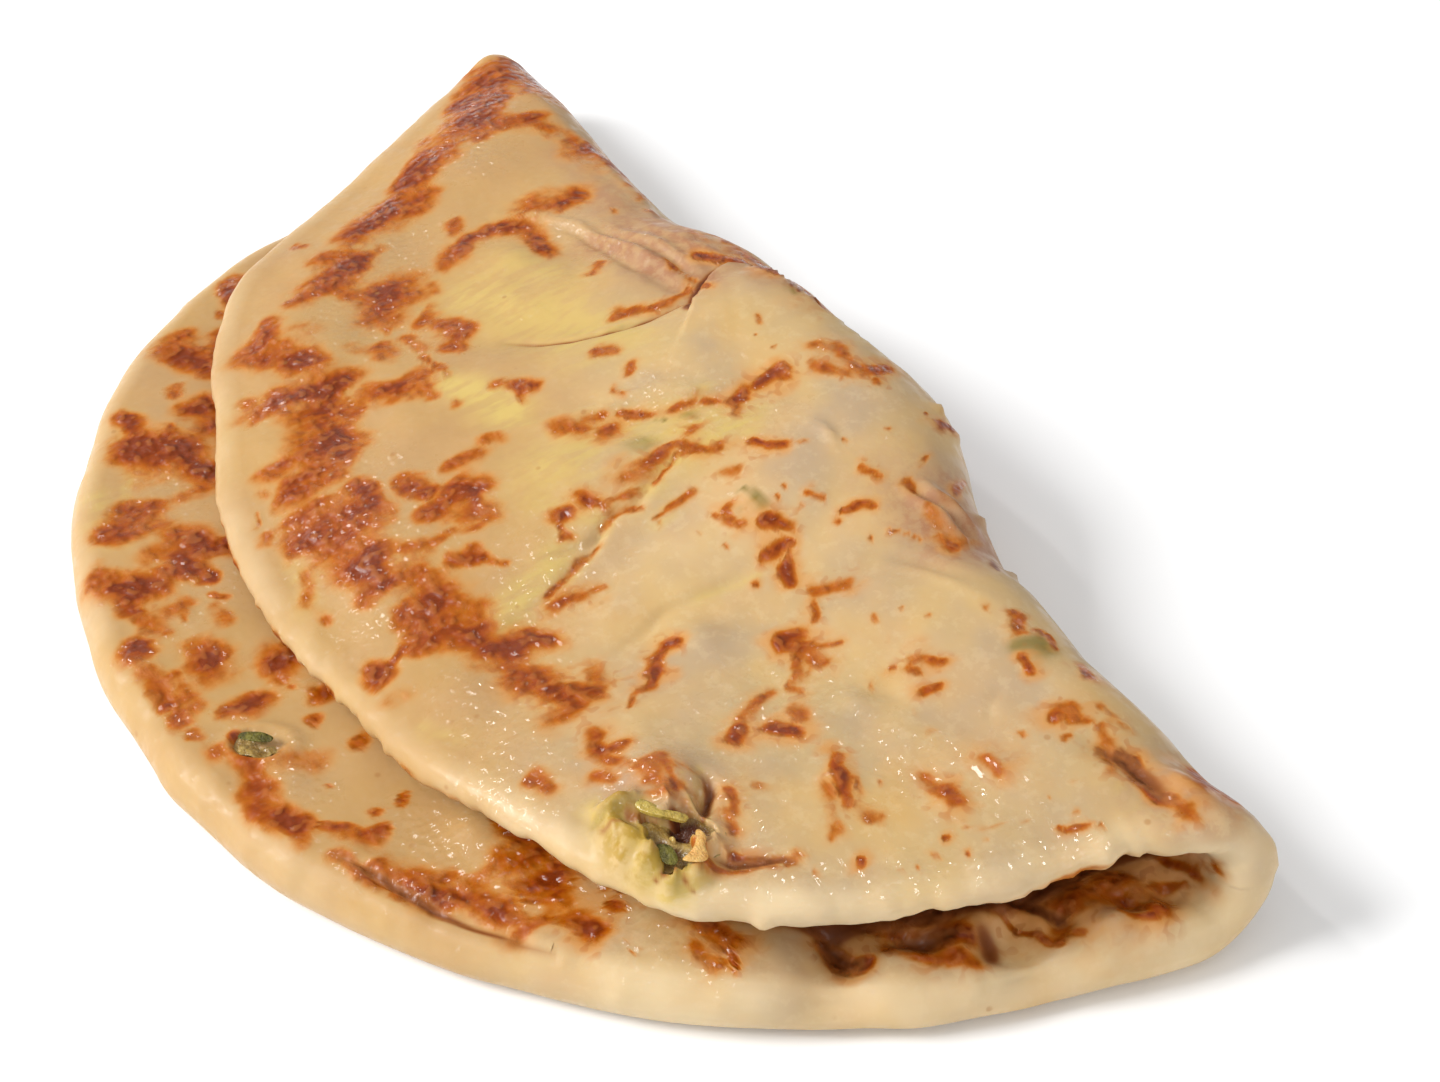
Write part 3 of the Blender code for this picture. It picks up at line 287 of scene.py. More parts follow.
BROWN_INSIDE = (
    (70.6, -82.5, 72.5, -81.7, 1.9, 1.1), (61.9, -84.7, 65.0, -83.6, 1.9, 1.1),
    (52.1, -101.6, 59.1, -97.9, 1.0, 0.9), (59.1, -97.9, 62.0, -91.2, 1.0, 0.8),
    (60.3, -94.2, 65.8, -89.6, 1.6, 0.6), (68.7, -91.0, 66.7, -84.7, 1.4, 0.6),
    (-86.1, -70.9, -81.3, -71.4, 1.39, 1.1), (-77.8, -75.8, -78.8, -75.6, 0.56, 0.5),
    (-69.6, -78.9, -71.7, -78.3, 1.37, 1), (14.7, -96.2, 15.1, -95.1, 1.02, 0.85),
    (15.3, -94.6, 16.5, -93.3, 0.85, 0.5), (16.5, -93, 18.5, -93.1, 0.39, 0.7),
    (4.9, -98.8, 6.2, -97, 1.76, 0.8), (6.2, -99.3, 7.8, -98.9, 1.34, 1.05),
    (11.9, -99.4, 11.7, -99.4, 0.42, 0.6), (-71.7, -86.7, -74.3, -84, 1.49, 1),
    (-70.5, -85.8, -65.8, -83.9, 1.47, 0.9), (-65.3, -84.5, -63, -82.9, 1.36, 0.85),
    (-72.8, -83.7, -65.9, -81.8, 2.12, 0.5), (-60.6, -89.6, -61.8, -89.3, 0.87, 0.6),
    (-53.6, -88.5, -50.3, -87.8, 1.82, 1.1), (-55.4, -86.7, -53.8, -86.5, 1.17, 0.9),
    (-58, -99.4, -54.8, -98.7, 1.05, 1.05), (-49.9, -101.1, -48.5, -99.5, 2.23, 1.1),
    (-46.6, -99.2, -46, -95.6, 2.35, 1.15), (-49.8, -95.6, -50.8, -94.6, 0.7, 0.8),
    (-42.6, -95.5, -38.9, -92.7, 1.68, 1.15), (-47, -94.9, -44.7, -95, 1.41, 1),
    (-44.3, -92.1, -45.1, -91.9, 0.53, 0.7), (-36.2, -98.6, -36.3, -96.2, 1.3, 0.6),
    (-35.9, -95.6, -34.8, -93.3, 0.76, 0.5), (-37.5, -105.2, -36.6, -103.2, 1.25, 0.8),
    (-33.3, -107.3, -33.1, -105.1, 2.2, 0.75), (-33.3, -110.9, -32.5, -109.2, 1.54, 0.85),
    (-31, -111.7, -31.8, -111.6, 0.73, 0.9), (-26.2, -102.6, -24.9, -100, 1.73, 1.05),
    (-22.4, -99.7, -20.5, -95.8, 1.21, 0.9), (-24.7, -106.7, -24.1, -104.2, 1.63, 0.85),
    (-21.7, -103.5, -19.4, -103, 1.37, 0.85), (-20.3, -106.2, -19.1, -104.2, 0.96, 0.7),
    (-15.6, -101.8, -16.5, -101.6, 0.77, 1.1), (-22.6, -95.5, -19.3, -95.7, 0.41, 1),
    (-24.1, -114.9, -22, -113.4, 1.35, 1.1), (-20, -113.9, -19.4, -111.4, 1.57, 1.05),
    (-17.9, -110.9, -16.9, -112.9, 1.35, 0.9), (-20.2, -113.8, -13.9, -113.9, 0.92, 0.9),
    (-18.1, -110.8, -18, -107.9, 1.18, 0.75), (-12.9, -109.6, -12.6, -107.7, 1.1, 0.9),
    (-11, -108, -9.2, -108.3, 0.43, 0.8), (-13.4, -113, -9.1, -113.2, 0.89, 0.8),
    (-11.5, -112.1, -8.2, -111.7, 1.02, 0.6), (-8.2, -103.5, -4.9, -102.5, 0.94, 0.55),
    (-11.7, -102.3, -9.9, -101.5, 0.6, 0.6), (-5, -116.1, -6.3, -115.9, 1.15, 1.2),
    (-0.9, -108.2, 2.7, -108, 2.08, 0.8), (2.3, -108.3, 1.5, -108.2, 0.74, 1.1),
    (-0.9, -116.4, 3.3, -116.2, 0.9, 0.9), (3.3, -116.8, 6.5, -116.7, 0.71, 1.1),
    (1.8, -113.9, 4.6, -114.1, 0.7, 0.6), (5.6, -115.8, 8.5, -112.9, 1.15, 0.55),
    (4.8, -112.8, 7.6, -113, 0.72, 0.5), (10.4, -115.6, 9.5, -115.4, 0.85, 1.1),
    (14, -114.1, 13.2, -114, 0.71, 0.9), (12.6, -104.3, 13.6, -106.7, 1.43, 0.9),
    (13, -109.1, 14, -107.5, 0.82, 0.9), (18.6, -113.8, 17.7, -113.6, 0.99, 0.65),
    (19.2, -110, 18.5, -109.9, 0.72, 1.1), (22.6, -110.7, 28.8, -110.8, 1.28, 0.6),
    (27.4, -112, 34, -111.7, 1.22, 0.75), (20, -111.9, 24.1, -111.2, 1.22, 0.45),
    (23.5, -106.3, 27.9, -102.7, 1.65, 0.35), (34.6, -111.1, 39.5, -109.5, 1.05, 1.2),
    (37.6, -108.8, 41, -109.1, 0.91, 0.9), (20.1, -99, 19.4, -98.8, 0.72, 0.75),
    (27.7, -95.3, 27.1, -95.1, 0.88, 1), (32.9, -102.7, 32.4, -102.7, 0.37, 0.8),
    (40.1, -95.4, 39.7, -95.3, 0.61, 0.8), (40.1, -99.4, 39.7, -99.3, 0.5, 0.9),
    (40, -105.9, 40.7, -103.5, 0.53, 0.85), (42.5, -102.6, 43.5, -99.5, 0.72, 0.8),
    (42.4, -103.9, 44.2, -101.6, 1.09, 0.5), (45.4, -106.4, 49.2, -104.3, 0.79, 1.05),
    (48.1, -104.2, 48.8, -101.4, 1.03, 0.8), (49.2, -104.2, 53.8, -101.4, 0.95, 1.1),
    (51, -101.9, 54.5, -99.2, 1.48, 0.85), (49.8, -103, 52.1, -98.3, 1.2, 0.8),
    (54.7, -97.1, 55.3, -95, 1.02, 1.1), (54.1, -99.8, 59, -96.5, 1.27, 0.95),
    (58.5, -97.3, 61.2, -94.2, 1.33, 0.9), (57.9, -94.9, 57.9, -91.8, 1.2, 0.75),
    (60.1, -94.6, 64.3, -90.6, 1.45, 0.7), (57.2, -91, 56.8, -87.6, 1.03, 0.7),
    (57, -87.1, 57, -82.6, 1.57, 0.8), (47.4, -86.1, 50.6, -85.4, 0.49, 0.9),
    (50.5, -85.3, 55.4, -84.1, 0.95, 0.8), (54.7, -83.3, 57.7, -82.6, 0.94, 0.75),
    (59.8, -82.1, 61.4, -81.9, 0.95, 0.8), (62.4, -83.8, 62.3, -82.4, 1.64, 0.95),
    (63.9, -86.4, 65.6, -85.2, 0.51, 1), (62.3, -81.5, 63.4, -80.8, 0.54, 1.1),
    (62.5, -92, 63.9, -89.8, 1.36, 0.75), (68, -89.1, 68.5, -86.8, 0.83, 0.6),
    (70.6, -83.6, 71.4, -82.4, 1.7, 1.1), (69.7, -84.6, 71.4, -81.2, 1.51, 0.75),
    (79.1, -79.4, 78.9, -79.3, 0.44, 0.8), (77.1, -79.9, 76.9, -79.9, 0.32, 0.6),
    (67.4, -78.3, 67.2, -78.3, 0.41, 0.9), (68.6, -76.6, 69.2, -75.3, 0.45, 0.9),
    (69.2, -78.3, 70.5, -77.7, 0.65, 0.95), (71.8, -75, 72.8, -73.5, 0.42, 0.9),
    (78.4, -69.5, 80.9, -69.3, 1.9, 1), (81.6, -69, 83.9, -68, 1.47, 1.05),
    (81.6, -72.2, 85, -70.9, 1.47, 0.75), (84.3, -68.8, 87.2, -69.8, 0.54, 1.1),
    (78.3, -69.1, 78.6, -67.9, 0.85, 1.2), (104.9, -23.7, 106.9, -20, 0.66, 0.9),
    (102.9, -30.1, 104.8, -28.6, 0.72, 0.7), (92.9, -48.6, 96.6, -43.2, 1.15, 0.8),
    (92.2, -46.7, 91.8, -46.3, 0.82, 0.6), (95.3, -33.9, 97.2, -26, 1.77, 0.89),
    (99.2, -27.5, 100.5, -20.4, 2.06, 0.84), (102.3, -29.7, 102.3, -29.7, 1.47, 0.69),
    (99.1, -19.4, 105.6, -16.3, 2.06, 0.64), (107, -19.1, 107, -19.1, 1.03, 0.69),
    (107, 2.3, 107, 2.3, 1.18, 0.69), (86.2, -56.1, 93.8, -55.2, 1.18, 1.09),
    (90.4, -50.3, 96.7, -41.4, 1.77, 0.84), (93.5, -51.6, 100.4, -42.5, 1.33, 0.69),
    (93.1, -35, 103.8, -30.7, 0.59, 0.89), (100.9, -8.4, 106.9, 4.7, 1.47, 0.45),
    (96, -25, 80, -30, 5, 0.9), (90, -15, 72, -38, 6, 0.9), (93, -42, 78, -52, 4.5, 0.85),
    (99, 28, 86, 42, 5, 0.8), (92, -33, 84, -44, 4, 0.9), (60, -78, 80, -60, 4, 0.6),
    (99.2, -27.5, 102.5, -20.4, 2.1, 0.95), (103.2, -20.9, 107, -17.4, 1.47, 0.9),
    (94.1, -31.3, 96.5, -27, 1.68, 1), (90.2, -51, 97.7, -40.6, 1.36, 0.95),
    (103.3, -15.2, 104.5, -9.4, 0.94, 0.7),
)
YELLOW_INSIDE = (
    (-49.5, -103.5, -38.2, -105.6, 0.92, 0.5), (26.3, -111.3, 21.4, -111, 1.12, 0.5),
    (-41.4, -110, -31.4, -111.3, 2.66, 0.5), (-57.9, -98.7, -48.9, -103.6, 1.9, 0.4),
)
GREEN_INSIDE = (
    (-15.7, -101.7, -16.7, -101.5, 0.77, 0.8),
)
PINK_INSIDE = (
    (100.7, -25.4, 105.3, -24.1, 1.33, 0.6), (101.7, -18.1, 106.5, -18.3, 1.33, 0.5),
)
# Painted shade, darkening the pits and the gap under the flap at the mouth
PAINTED_SHADE_INSIDE = (
    (86.5, -56.2, 92.3, -55.4, 0.76, 0.8), (94.7, -31.8, 96.6, -26.4, 1.71, 0.7),
    (93, -22, 84, -32, 3.5, 0.55), (90.5, -36, 86, -46, 2.2, 0.5), (92.8, -30.1, 94.9, -24, 1.26, 0.95),
    (97.3, -29.2, 101.4, -28.8, 0.73, 0.75),
)
MARKS = {
    Face.OUTSIDE: {
        "brown": BROWN_OUTSIDE, "yellow": YELLOW_OUTSIDE, "green": GREEN_OUTSIDE, "pink": PINK_OUTSIDE,
        "painted_shade": PAINTED_SHADE_OUTSIDE,
    },
    Face.INSIDE: {
        "brown": BROWN_INSIDE, "yellow": YELLOW_INSIDE, "green": GREEN_INSIDE, "pink": PINK_INSIDE,
        "painted_shade": PAINTED_SHADE_INSIDE,
    },
}

# Cracks, grooves and ridges: face, half width, height and the points of the line, in millimetres
LINES = (
    (1, 0.8, -0.9, (  # crack upper
        (-30, 46.2), (-25.2, 43.2), (-22.2, 40.1), (-20.5, 37.2), (-19.5, 34.3), (-19, 30.3), (-18.6, 25.8),
        (-17.7, 22.4),
    )),
    (1, 0.8, -0.7, (  # crack middle
        (11.6, 38.2), (12, 40.5), (12.3, 42.4), (13.8, 46.6), (15.9, 49.8), (16.8, 54), (19.3, 56.9),
        (21.7, 60.6), (23, 63.5), (23.8, 66.2),
    )),
    (1, 0.6, -0.5, ((17.6, 54.7), (18.3, 57.1), (18.1, 59.4), (17.5, 61.6))),  # crack branch
    (1, 1.2, -0.6, (  # groove hump
        (35.9, 38.6), (36.1, 40.2), (36.2, 43.8), (35.6, 47.1), (35.2, 51.1), (36.4, 55.8), (37.6, 59.4),
    )),
    (1, 1.3, 0.6, (  # skin ridge
        (-11.2, 60.6), (-9.1, 56.7), (-7.1, 53.1), (-5.3, 47.9), (-3.7, 42.7), (-2.4, 37.9), (1.1, 34.7),
        (3.5, 30.2),
    )),
    (1, 1, 0.5, (  # tip ridge
        (-65.1, 27.6), (-61.8, 24.4), (-58.4, 21.9), (-52, 19.1), (-45.2, 19.2), (-38.5, 20.6), (-30.6, 22),
        (-24.6, 22.2),
    )),
    (1, 0.9, -0.7, (  # tip groove
        (-54.4, 21.6), (-49.5, 20.2), (-43.2, 21.4), (-35.9, 23.7), (-28.8, 24.5), (-23.7, 24.1),
        (-20.6, 23),
    )),
    (1, 0.9, 0.6, (  # back ridge
        (-97.5, 8.8), (-90, 8.3), (-81.8, 7.6), (-71.6, 7.5), (-61, 8), (-52.6, 7.9), (-35.2, 13.7),
    )),
    (1, 0.6, -0.35, ((73.7, 17.9), (74.9, 20.8), (76.5, 22.7), (78.2, 24.3))),  # right line
    (1, 0.9, -0.8, ((79.6, 68.7), (81.6, 66.4), (82.7, 63.5), (83.7, 60.6), (85.6, 59.2))),  # burst streak
    (1, 1, -0.9, ((67.7, 62.4), (70.5, 63.3), (72, 65.1), (73, 66.9))),  # blister groove
    (1, 0.7, 0.35, ((39.3, 13.2), (42.6, 11.1), (46.5, 9.6))),  # back wrinkle 1
    (1, 0.7, 0.35, ((37.9, 12), (40.5, 9.5), (44.2, 7.8))),  # back wrinkle 2
    (1, 0.8, 0.3, ((44.8, 21), (49.8, 16.8), (56, 13.7), (60.8, 11.7))),  # fan 1
    (1, 0.8, 0.3, ((43, 19.5), (47.6, 14.2), (52.7, 11.3))),  # fan 2
    (1, 0.8, -0.3, ((43, 21.9), (48.3, 16.1), (55.2, 12.2))),  # fan 3
    (1, 0.7, 0.5, ((17.5, 25.8), (20.2, 25), (23, 23.8))),  # short ridge
    (-1, 1.0, -1.2, (  # rim groove
        (45, -106.4), (48.7, -104), (52.6, -101.8), (56.5, -100.3), (60.5, -98.2), (64.5, -95.6),
        (68.5, -92.6), (73.5, -88.6),
    )),
    (1, 0.6, -0.3, ((98.3, 27.3), (99.4, 25.1), (100.2, 22.2))),  # front line
    (1, 0.6, 0.4, ((22.6, 37.6), (24.5, 37.2), (26.6, 36.4), (28.5, 35.3))),  # herb line
    (-1, 2, -2.4, ((86.2, -56.2), (89.5, -55.8), (94, -55.2))),  # pit a
    (-1, 2.2, -1.5, ((96.2, -38.1), (99.5, -38.7), (102.2, -40.3))),  # pit b
    (-1, 2.4, 1.6, ((97, -42.4), (95.6, -36.6), (93.9, -32.1))),  # crest c
    (1, 2.2, 0.9, ((101, -24.4), (103.7, -19.9), (104.6, -13.5))),  # crest rim
    (-1, 1, 0.8, ((93.1, -35), (96.3, -32.3), (101.2, -31.2), (103.8, -30.7))),  # ridge e
    (-1, 2.6, 1.2, ((94.9, -54.1), (96.6, -49.9), (98.2, -44.8))),  # crest f
    (-1, 1.8, -1.4, ((93.4, -50), (94.8, -46.2), (96, -42.5))),  # pit g
    (1, 0.8, 0.9, ((66.3, 76.9), (67, 75.3), (68.8, 73.9))),  # skin fold 1
    (1, 0.8, 0.9, ((64.8, 77.2), (67.6, 76.9))),  # skin fold 2
    (1, 0.7, 0.7, ((70.5, 76.6), (72.6, 75.2))),  # skin fold 7
    (1, 0.6, -0.7, ((67.5, 78.2), (68.9, 76.3), (70.5, 74.6))),  # skin gap 1
    (1, 0.9, -0.9, ((67.2, 62.8), (70.3, 63.7), (72.9, 65.6), (74.5, 67.5))),  # blister edge
    (1, 2, -1.3, ((89.7, 15.1), (93.1, 13.4), (97.1, 13.2), (101.5, 13.2))),  # valley right
    (1, 2, 0.9, ((95.9, 10.9), (100, 10.6), (103.6, 9.8))),  # valley wall
    (1, 0.7, 0.35, ((-46.2, 19.2), (-38, 20.5), (-30.3, 21.7), (-21.9, 22.2))),  # lip wrinkle 1
    (1, 0.7, 0.35, ((-48.7, 15.4), (-38.9, 17), (-31.3, 18.3), (-24.2, 18.7))),  # lip wrinkle 2
    (1, 0.7, 0.35, ((-47.4, 11.6), (-36.5, 14.4), (-29.1, 15), (-24.2, 13.3))),  # lip wrinkle 3
    (1, 0.6, -0.5, ((-46.9, 17.6), (-37.7, 18.9), (-29.8, 20), (-22.9, 20.3))),  # lip wrinkle 4
    (1, 0.7, 0.85, ((36.2, 14.7), (41.2, 11.9), (46.9, 9.7))),  # right wrinkle 1
    (1, 0.7, 0.85, ((34.6, 12.9), (39.6, 10.2), (44.8, 7.8))),  # right wrinkle 2
    (1, 0.6, -0.68, ((35.5, 13.8), (40.6, 11), (46.1, 8.9))),  # right wrinkle 3
    (1, 0.5, 0.35, ((19, 26), (21.5, 24.9), (23.8, 23.7))),  # skin scar 1
    (1, 0.7, 0.45, ((-6.3, 43.8), (-1.2, 39.2), (2.3, 33.9), (3.9, 28.9))),  # skin scar 2
    (1, 0.9, 0.8, ((67.6, 76.9), (71.3, 76.7), (73.9, 75.8))),  # skin fold 3
    (1, 0.9, 0.9, ((73.5, 75.8), (77, 74.8), (80.1, 74.2))),  # skin fold 4
    (1, 0.8, 0.9, ((72.3, 74.1), (74.9, 74.6), (79, 73.4))),  # skin fold 5
    (1, 0.8, 0.9, ((76.8, 69.3), (78.2, 71.5), (78.6, 73.2))),  # skin fold 6
    (1, 0.8, 0.9, ((80.6, 73.8), (80.4, 72), (80.9, 70.3))),  # skin fold 8
    (1, 0.6, -0.8, ((74.3, 74.1), (76.7, 73.6), (78.4, 71.9))),  # skin gap 2
    (-1, 2.2, 0.9, ((102.4, -28.5), (105.6, -24.4), (107.6, -18.9), (109, -12.5))),  # crest rim
)
# The torn skin's edge
LIP = (
    (-15.9, 24.9), (-18.7, 22.4), (-20.7, 20), (-21.9, 17.8), (-22.1, 15.7), (-20.8, 13.9), (-17.8, 12.9),
    (-13.6, 12.6), (-9.5, 12.2), (-4, 11.5),
)

# Small bumps and hollows: face, place, radius and height, in millimetres
BUMPS = (
    (1, 66.5, 32.2, 2.6, -0.8),  # dimple
    # Lumps along the front rim
    (1, 56.8, -94.4, 2.4, 1.0), (1, 59.2, -92.9, 2.4, 1.0), (1, 61.7, -91.4, 2.2, 0.9),
    (1, 64.8, -89.7, 2.4, 1.0), (1, 67.8, -87.5, 2.2, 0.9), (-1, 48.9, -103.1, 2.2, 0.8),
    (-1, 56.0, -99.4, 2.2, 0.8), (-1, 45.5, -104.8, 2, 0.7),
    (1, 66.8, 36.4, 2.2, 0.5),  # dimple rim
    (1, 74.2, 34.6, 4, 0.6),  # below dimple
    (1, 42.5, 49.1, 5, 0.9),  # hump
    (1, -51, 31.7, 4.5, 0.9),  # tip bump
    (1, -34, 85.5, 4, 0.6),  # left bump
    (-1, 49.5, -88.6, 3.2, 0.9),  # edge bump
    # Broad swells of the flap
    (1, 58.3, 67.1, 4, 0.5), (1, 66, 43, 4.5, 0.5), (1, 71.7, 59.7, 3.5, 0.4), (1, 34.7, 82.7, 5.5, 0.6),
    (1, 81.8, 31.3, 4, 0.5), (1, -18.3, 64.4, 5, 0.6), (1, 3.2, 52.3, 5.5, 0.5), (1, -80.1, 24.8, 6, 0.6),
    (1, -4.8, 26.8, 6, 0.5),
    # Raised browned spots
    (1, 75.7, 46.6, 2.6, 0.5), (1, 86.4, 36.5, 2.4, 0.5), (1, 84.6, 28.2, 2, 0.3),
    (-1, 29.4, -107.5, 3, 0.5),  # smear
    # Swells of the lower layer
    (-1, -52.8, -95.5, 5, 0.5), (-1, 56.3, -87.8, 4, 0.5), (-1, 77.2, -78, 4, 0.4),
    (-1, -0.5, -102.3, 6, 0.4),
    # Lumps inside the mouth
    (-1, 100.7, -25.4, 2.6, 1.2), (-1, 105.3, -24.1, 2.2, 1.2), (-1, 101.7, -18.1, 2.4, 1),
    (-1, 106.5, -18.3, 2.2, 1.1), (-1, 98.9, -21.7, 2, 0.9),
    # Pits inside the mouth
    (-1, 101.6, -29.3, 2, -1.2), (-1, 103.9, -20.3, 1.8, -1), (-1, 104.9, -14.1, 1.8, -0.9),
    # Holes in the burst
    (1, 73.8, 69, 1.9, -2.6), (1, 75, 73.4, 1.5, -1.6), (1, 77.8, 72.9, 1.6, -1.6),
    # Filling that oozes out of the burst
    (1, 76.6, 75.6, 1.6, 1.3), (1, 81, 71.6, 1.4, 1.2),
    # Swollen skin beside the burst
    (1, 67.2, 75.2, 2.4, 0.9), (1, 67.9, 76.6, 1.8, 0.8),
    # Pale round swellings
    (1, 65, 37.2, 2.2, 0.5), (1, 42.5, 49.1, 2.6, 0.5), (1, 67.3, 33.7, 2.4, 0.5),
    # Filling that oozes out of the burst
    (1, 79.8, 74.6, 1.5, 1.4), (1, 73.2, 78, 1.5, 0.9),
    # Flakes along the fold
    (1, 24.5, 6.4, 1, 0.9), (1, -8.6, 10.6, 1, 0.9), (1, 20.5, 8.2, 0.8, 1), (1, 41, 5.4, 1, 0.9),
    (1, 53.5, 5.6, 0.9, 0.9),
)

# Holes in the flap's burst, in millimetres: both ends, half width and strength
HOLES = (
    (71.4, 73.2, 75.0, 69.3, 1.3, 1), (73.2, 68.2, 75.4, 67.2, 1.5, 1), (73.6, 73.6, 77.8, 72.6, 1.5, 1),
    (75.6, 70.6, 77.9, 71.6, 1.2, 1), (76.8, 72.0, 78.4, 74.0, 1.1, 1),
)
# Hollows in the filling under them
FILLING_HOLLOWS = (
    (73.9, 69.0, 1.9, 2.2), (74.4, 67.6, 1.7, 2.0), (75.0, 73.6, 1.3, 0.9), (77.6, 72.4, 1.2, 0.8),
)

# Where the skin is oily
GLOSS_OUTSIDE = (
    (66, 67, 68, 65, 9, 1), (74, 62, 82, 64, 6, 0.8), (60, 50, 64, 40, 9, 0.6), (20, 60, 36, 78, 9, 0.5),
    (-10, 75, 12, 84, 10, 0.5), (40, 80, 56, 84, 8, 0.6), (-70, 45, -50, 62, 9, 0.5),
    (-96, 18, -84, 24, 8, 0.5), (76, 40, 86, 30, 7, 0.7), (101, 26, 92, 52, 3, 0.8),
    (92, 52, 82, 68, 3, 0.7), (-40, 20, -60, 22, 6, 0.4), (0, 40, 12, 30, 8, 0.4),
)
GLOSS_INSIDE = (
    (24, -105, 32, -104, 4, 0.9), (45, -95, 62, -88, 6, 0.6), (70, -80, 84, -70, 6, 0.6),
    (-40, -98, -10, -103, 5, 0.4),
)


def smooth(t: np.ndarray | float) -> np.ndarray:
    """Soft step from 0 to 1."""
    t = np.clip(t, 0, 1)
    return t * t * (3 - 2 * t)


def soft_step(value: np.ndarray | float, start: float, width: float) -> np.ndarray:
    """Soft step from 0 at the start to 1 a width further on."""
    return smooth((value - start) / width)


def bump(x: np.ndarray | float, centre: float, width: float) -> np.ndarray:
    """Round hill of height 1."""
    return np.exp(-(((x - centre) / width) ** 2))


def plateau(x: np.ndarray, span: tuple[float, float], softness: float) -> np.ndarray:
    """1 within the span and 0 outside it, with soft ends."""
    return 0.5 * (np.tanh((x - span[0]) / softness) - np.tanh((x - span[1]) / softness))


def spline(points: list[tuple[float, float]], at: np.ndarray) -> np.ndarray:
    """Smooth curve through points of (place, value), read at the places given.

    Args:
        points: Pairs of a place and the value there, in rising order of place.
        at: Places to read.

    Returns:
        The curve's value at each place.
    """
    places, values = np.array(points).T
    slopes = np.gradient(values, places)
    i = np.clip(np.searchsorted(places, at) - 1, 0, len(places) - 2)
    step = places[i + 1] - places[i]
    t = np.clip((at - places[i]) / step, 0, 1)
    rise = values[i] * (2 * t**3 - 3 * t**2 + 1) + values[i + 1] * (3 * t**2 - 2 * t**3)
    return rise + step * (slopes[i] * (t**3 - 2 * t**2 + t) + slopes[i + 1] * (t**3 - t**2))


def segment_distance(
    x: np.ndarray, s: np.ndarray, start: tuple[float, float], end: tuple[float, float]
) -> tuple[np.ndarray, np.ndarray]:
    """Distance to a straight line from start to end.

    Args:
        x: Places along the fold.
        s: Distances from the fold's back.
        start: First end of the line.
        end: Other end of the line.

    Returns:
        The distance, and how far along the line the nearest point is, from 0 to 1.
    """
    line = np.subtract(end, start)
    length = max(float(line @ line), 1e-12)
    along = np.clip(((x - start[0]) * line[0] + (s - start[1]) * line[1]) / length, 0, 1)
    return np.hypot(x - start[0] - along * line[0], s - start[1] - along * line[1]), along


class Grain:
    """Seeded noise between -1 and 1 for arrays of points."""

    CELLS = 32

    def __init__(self, seed: Seed) -> None:
        """Draw the table of values.

        Args:
            seed: What settles the whole pattern.
        """
        self.table = np.random.default_rng(seed.value).uniform(-1, 1, (self.CELLS,) * 3)

    def at(self, points: np.ndarray, size: float) -> np.ndarray:
        """Noise whose lumps are about size across.

        Args:
            points: Array of points, one in each row.
            size: Size of a lump.

        Returns:
            One value for each point.
        """
        scaled = points / size + 0.37
        low = np.floor(scaled).astype(int)
        t = scaled - low
        t = t * t * (3 - 2 * t)
        total = np.zeros(len(points))
        for corner in np.ndindex(2, 2, 2):
            cell = (low + corner) % self.CELLS
            share = np.prod(np.where(corner, t, 1 - t), axis=1)
            total += share * self.table[cell[:, 0], cell[:, 1], cell[:, 2]]
        return total


@dataclass(frozen=True)
class Ripple:
    """Unevenness of one size: how wide its lumps are and how far they stand out."""

    size: float
    height: float

    def at(self, grain: Grain, points: np.ndarray) -> np.ndarray:
        """Height of the lumps at each point."""
        return self.height * grain.at(points, self.size)


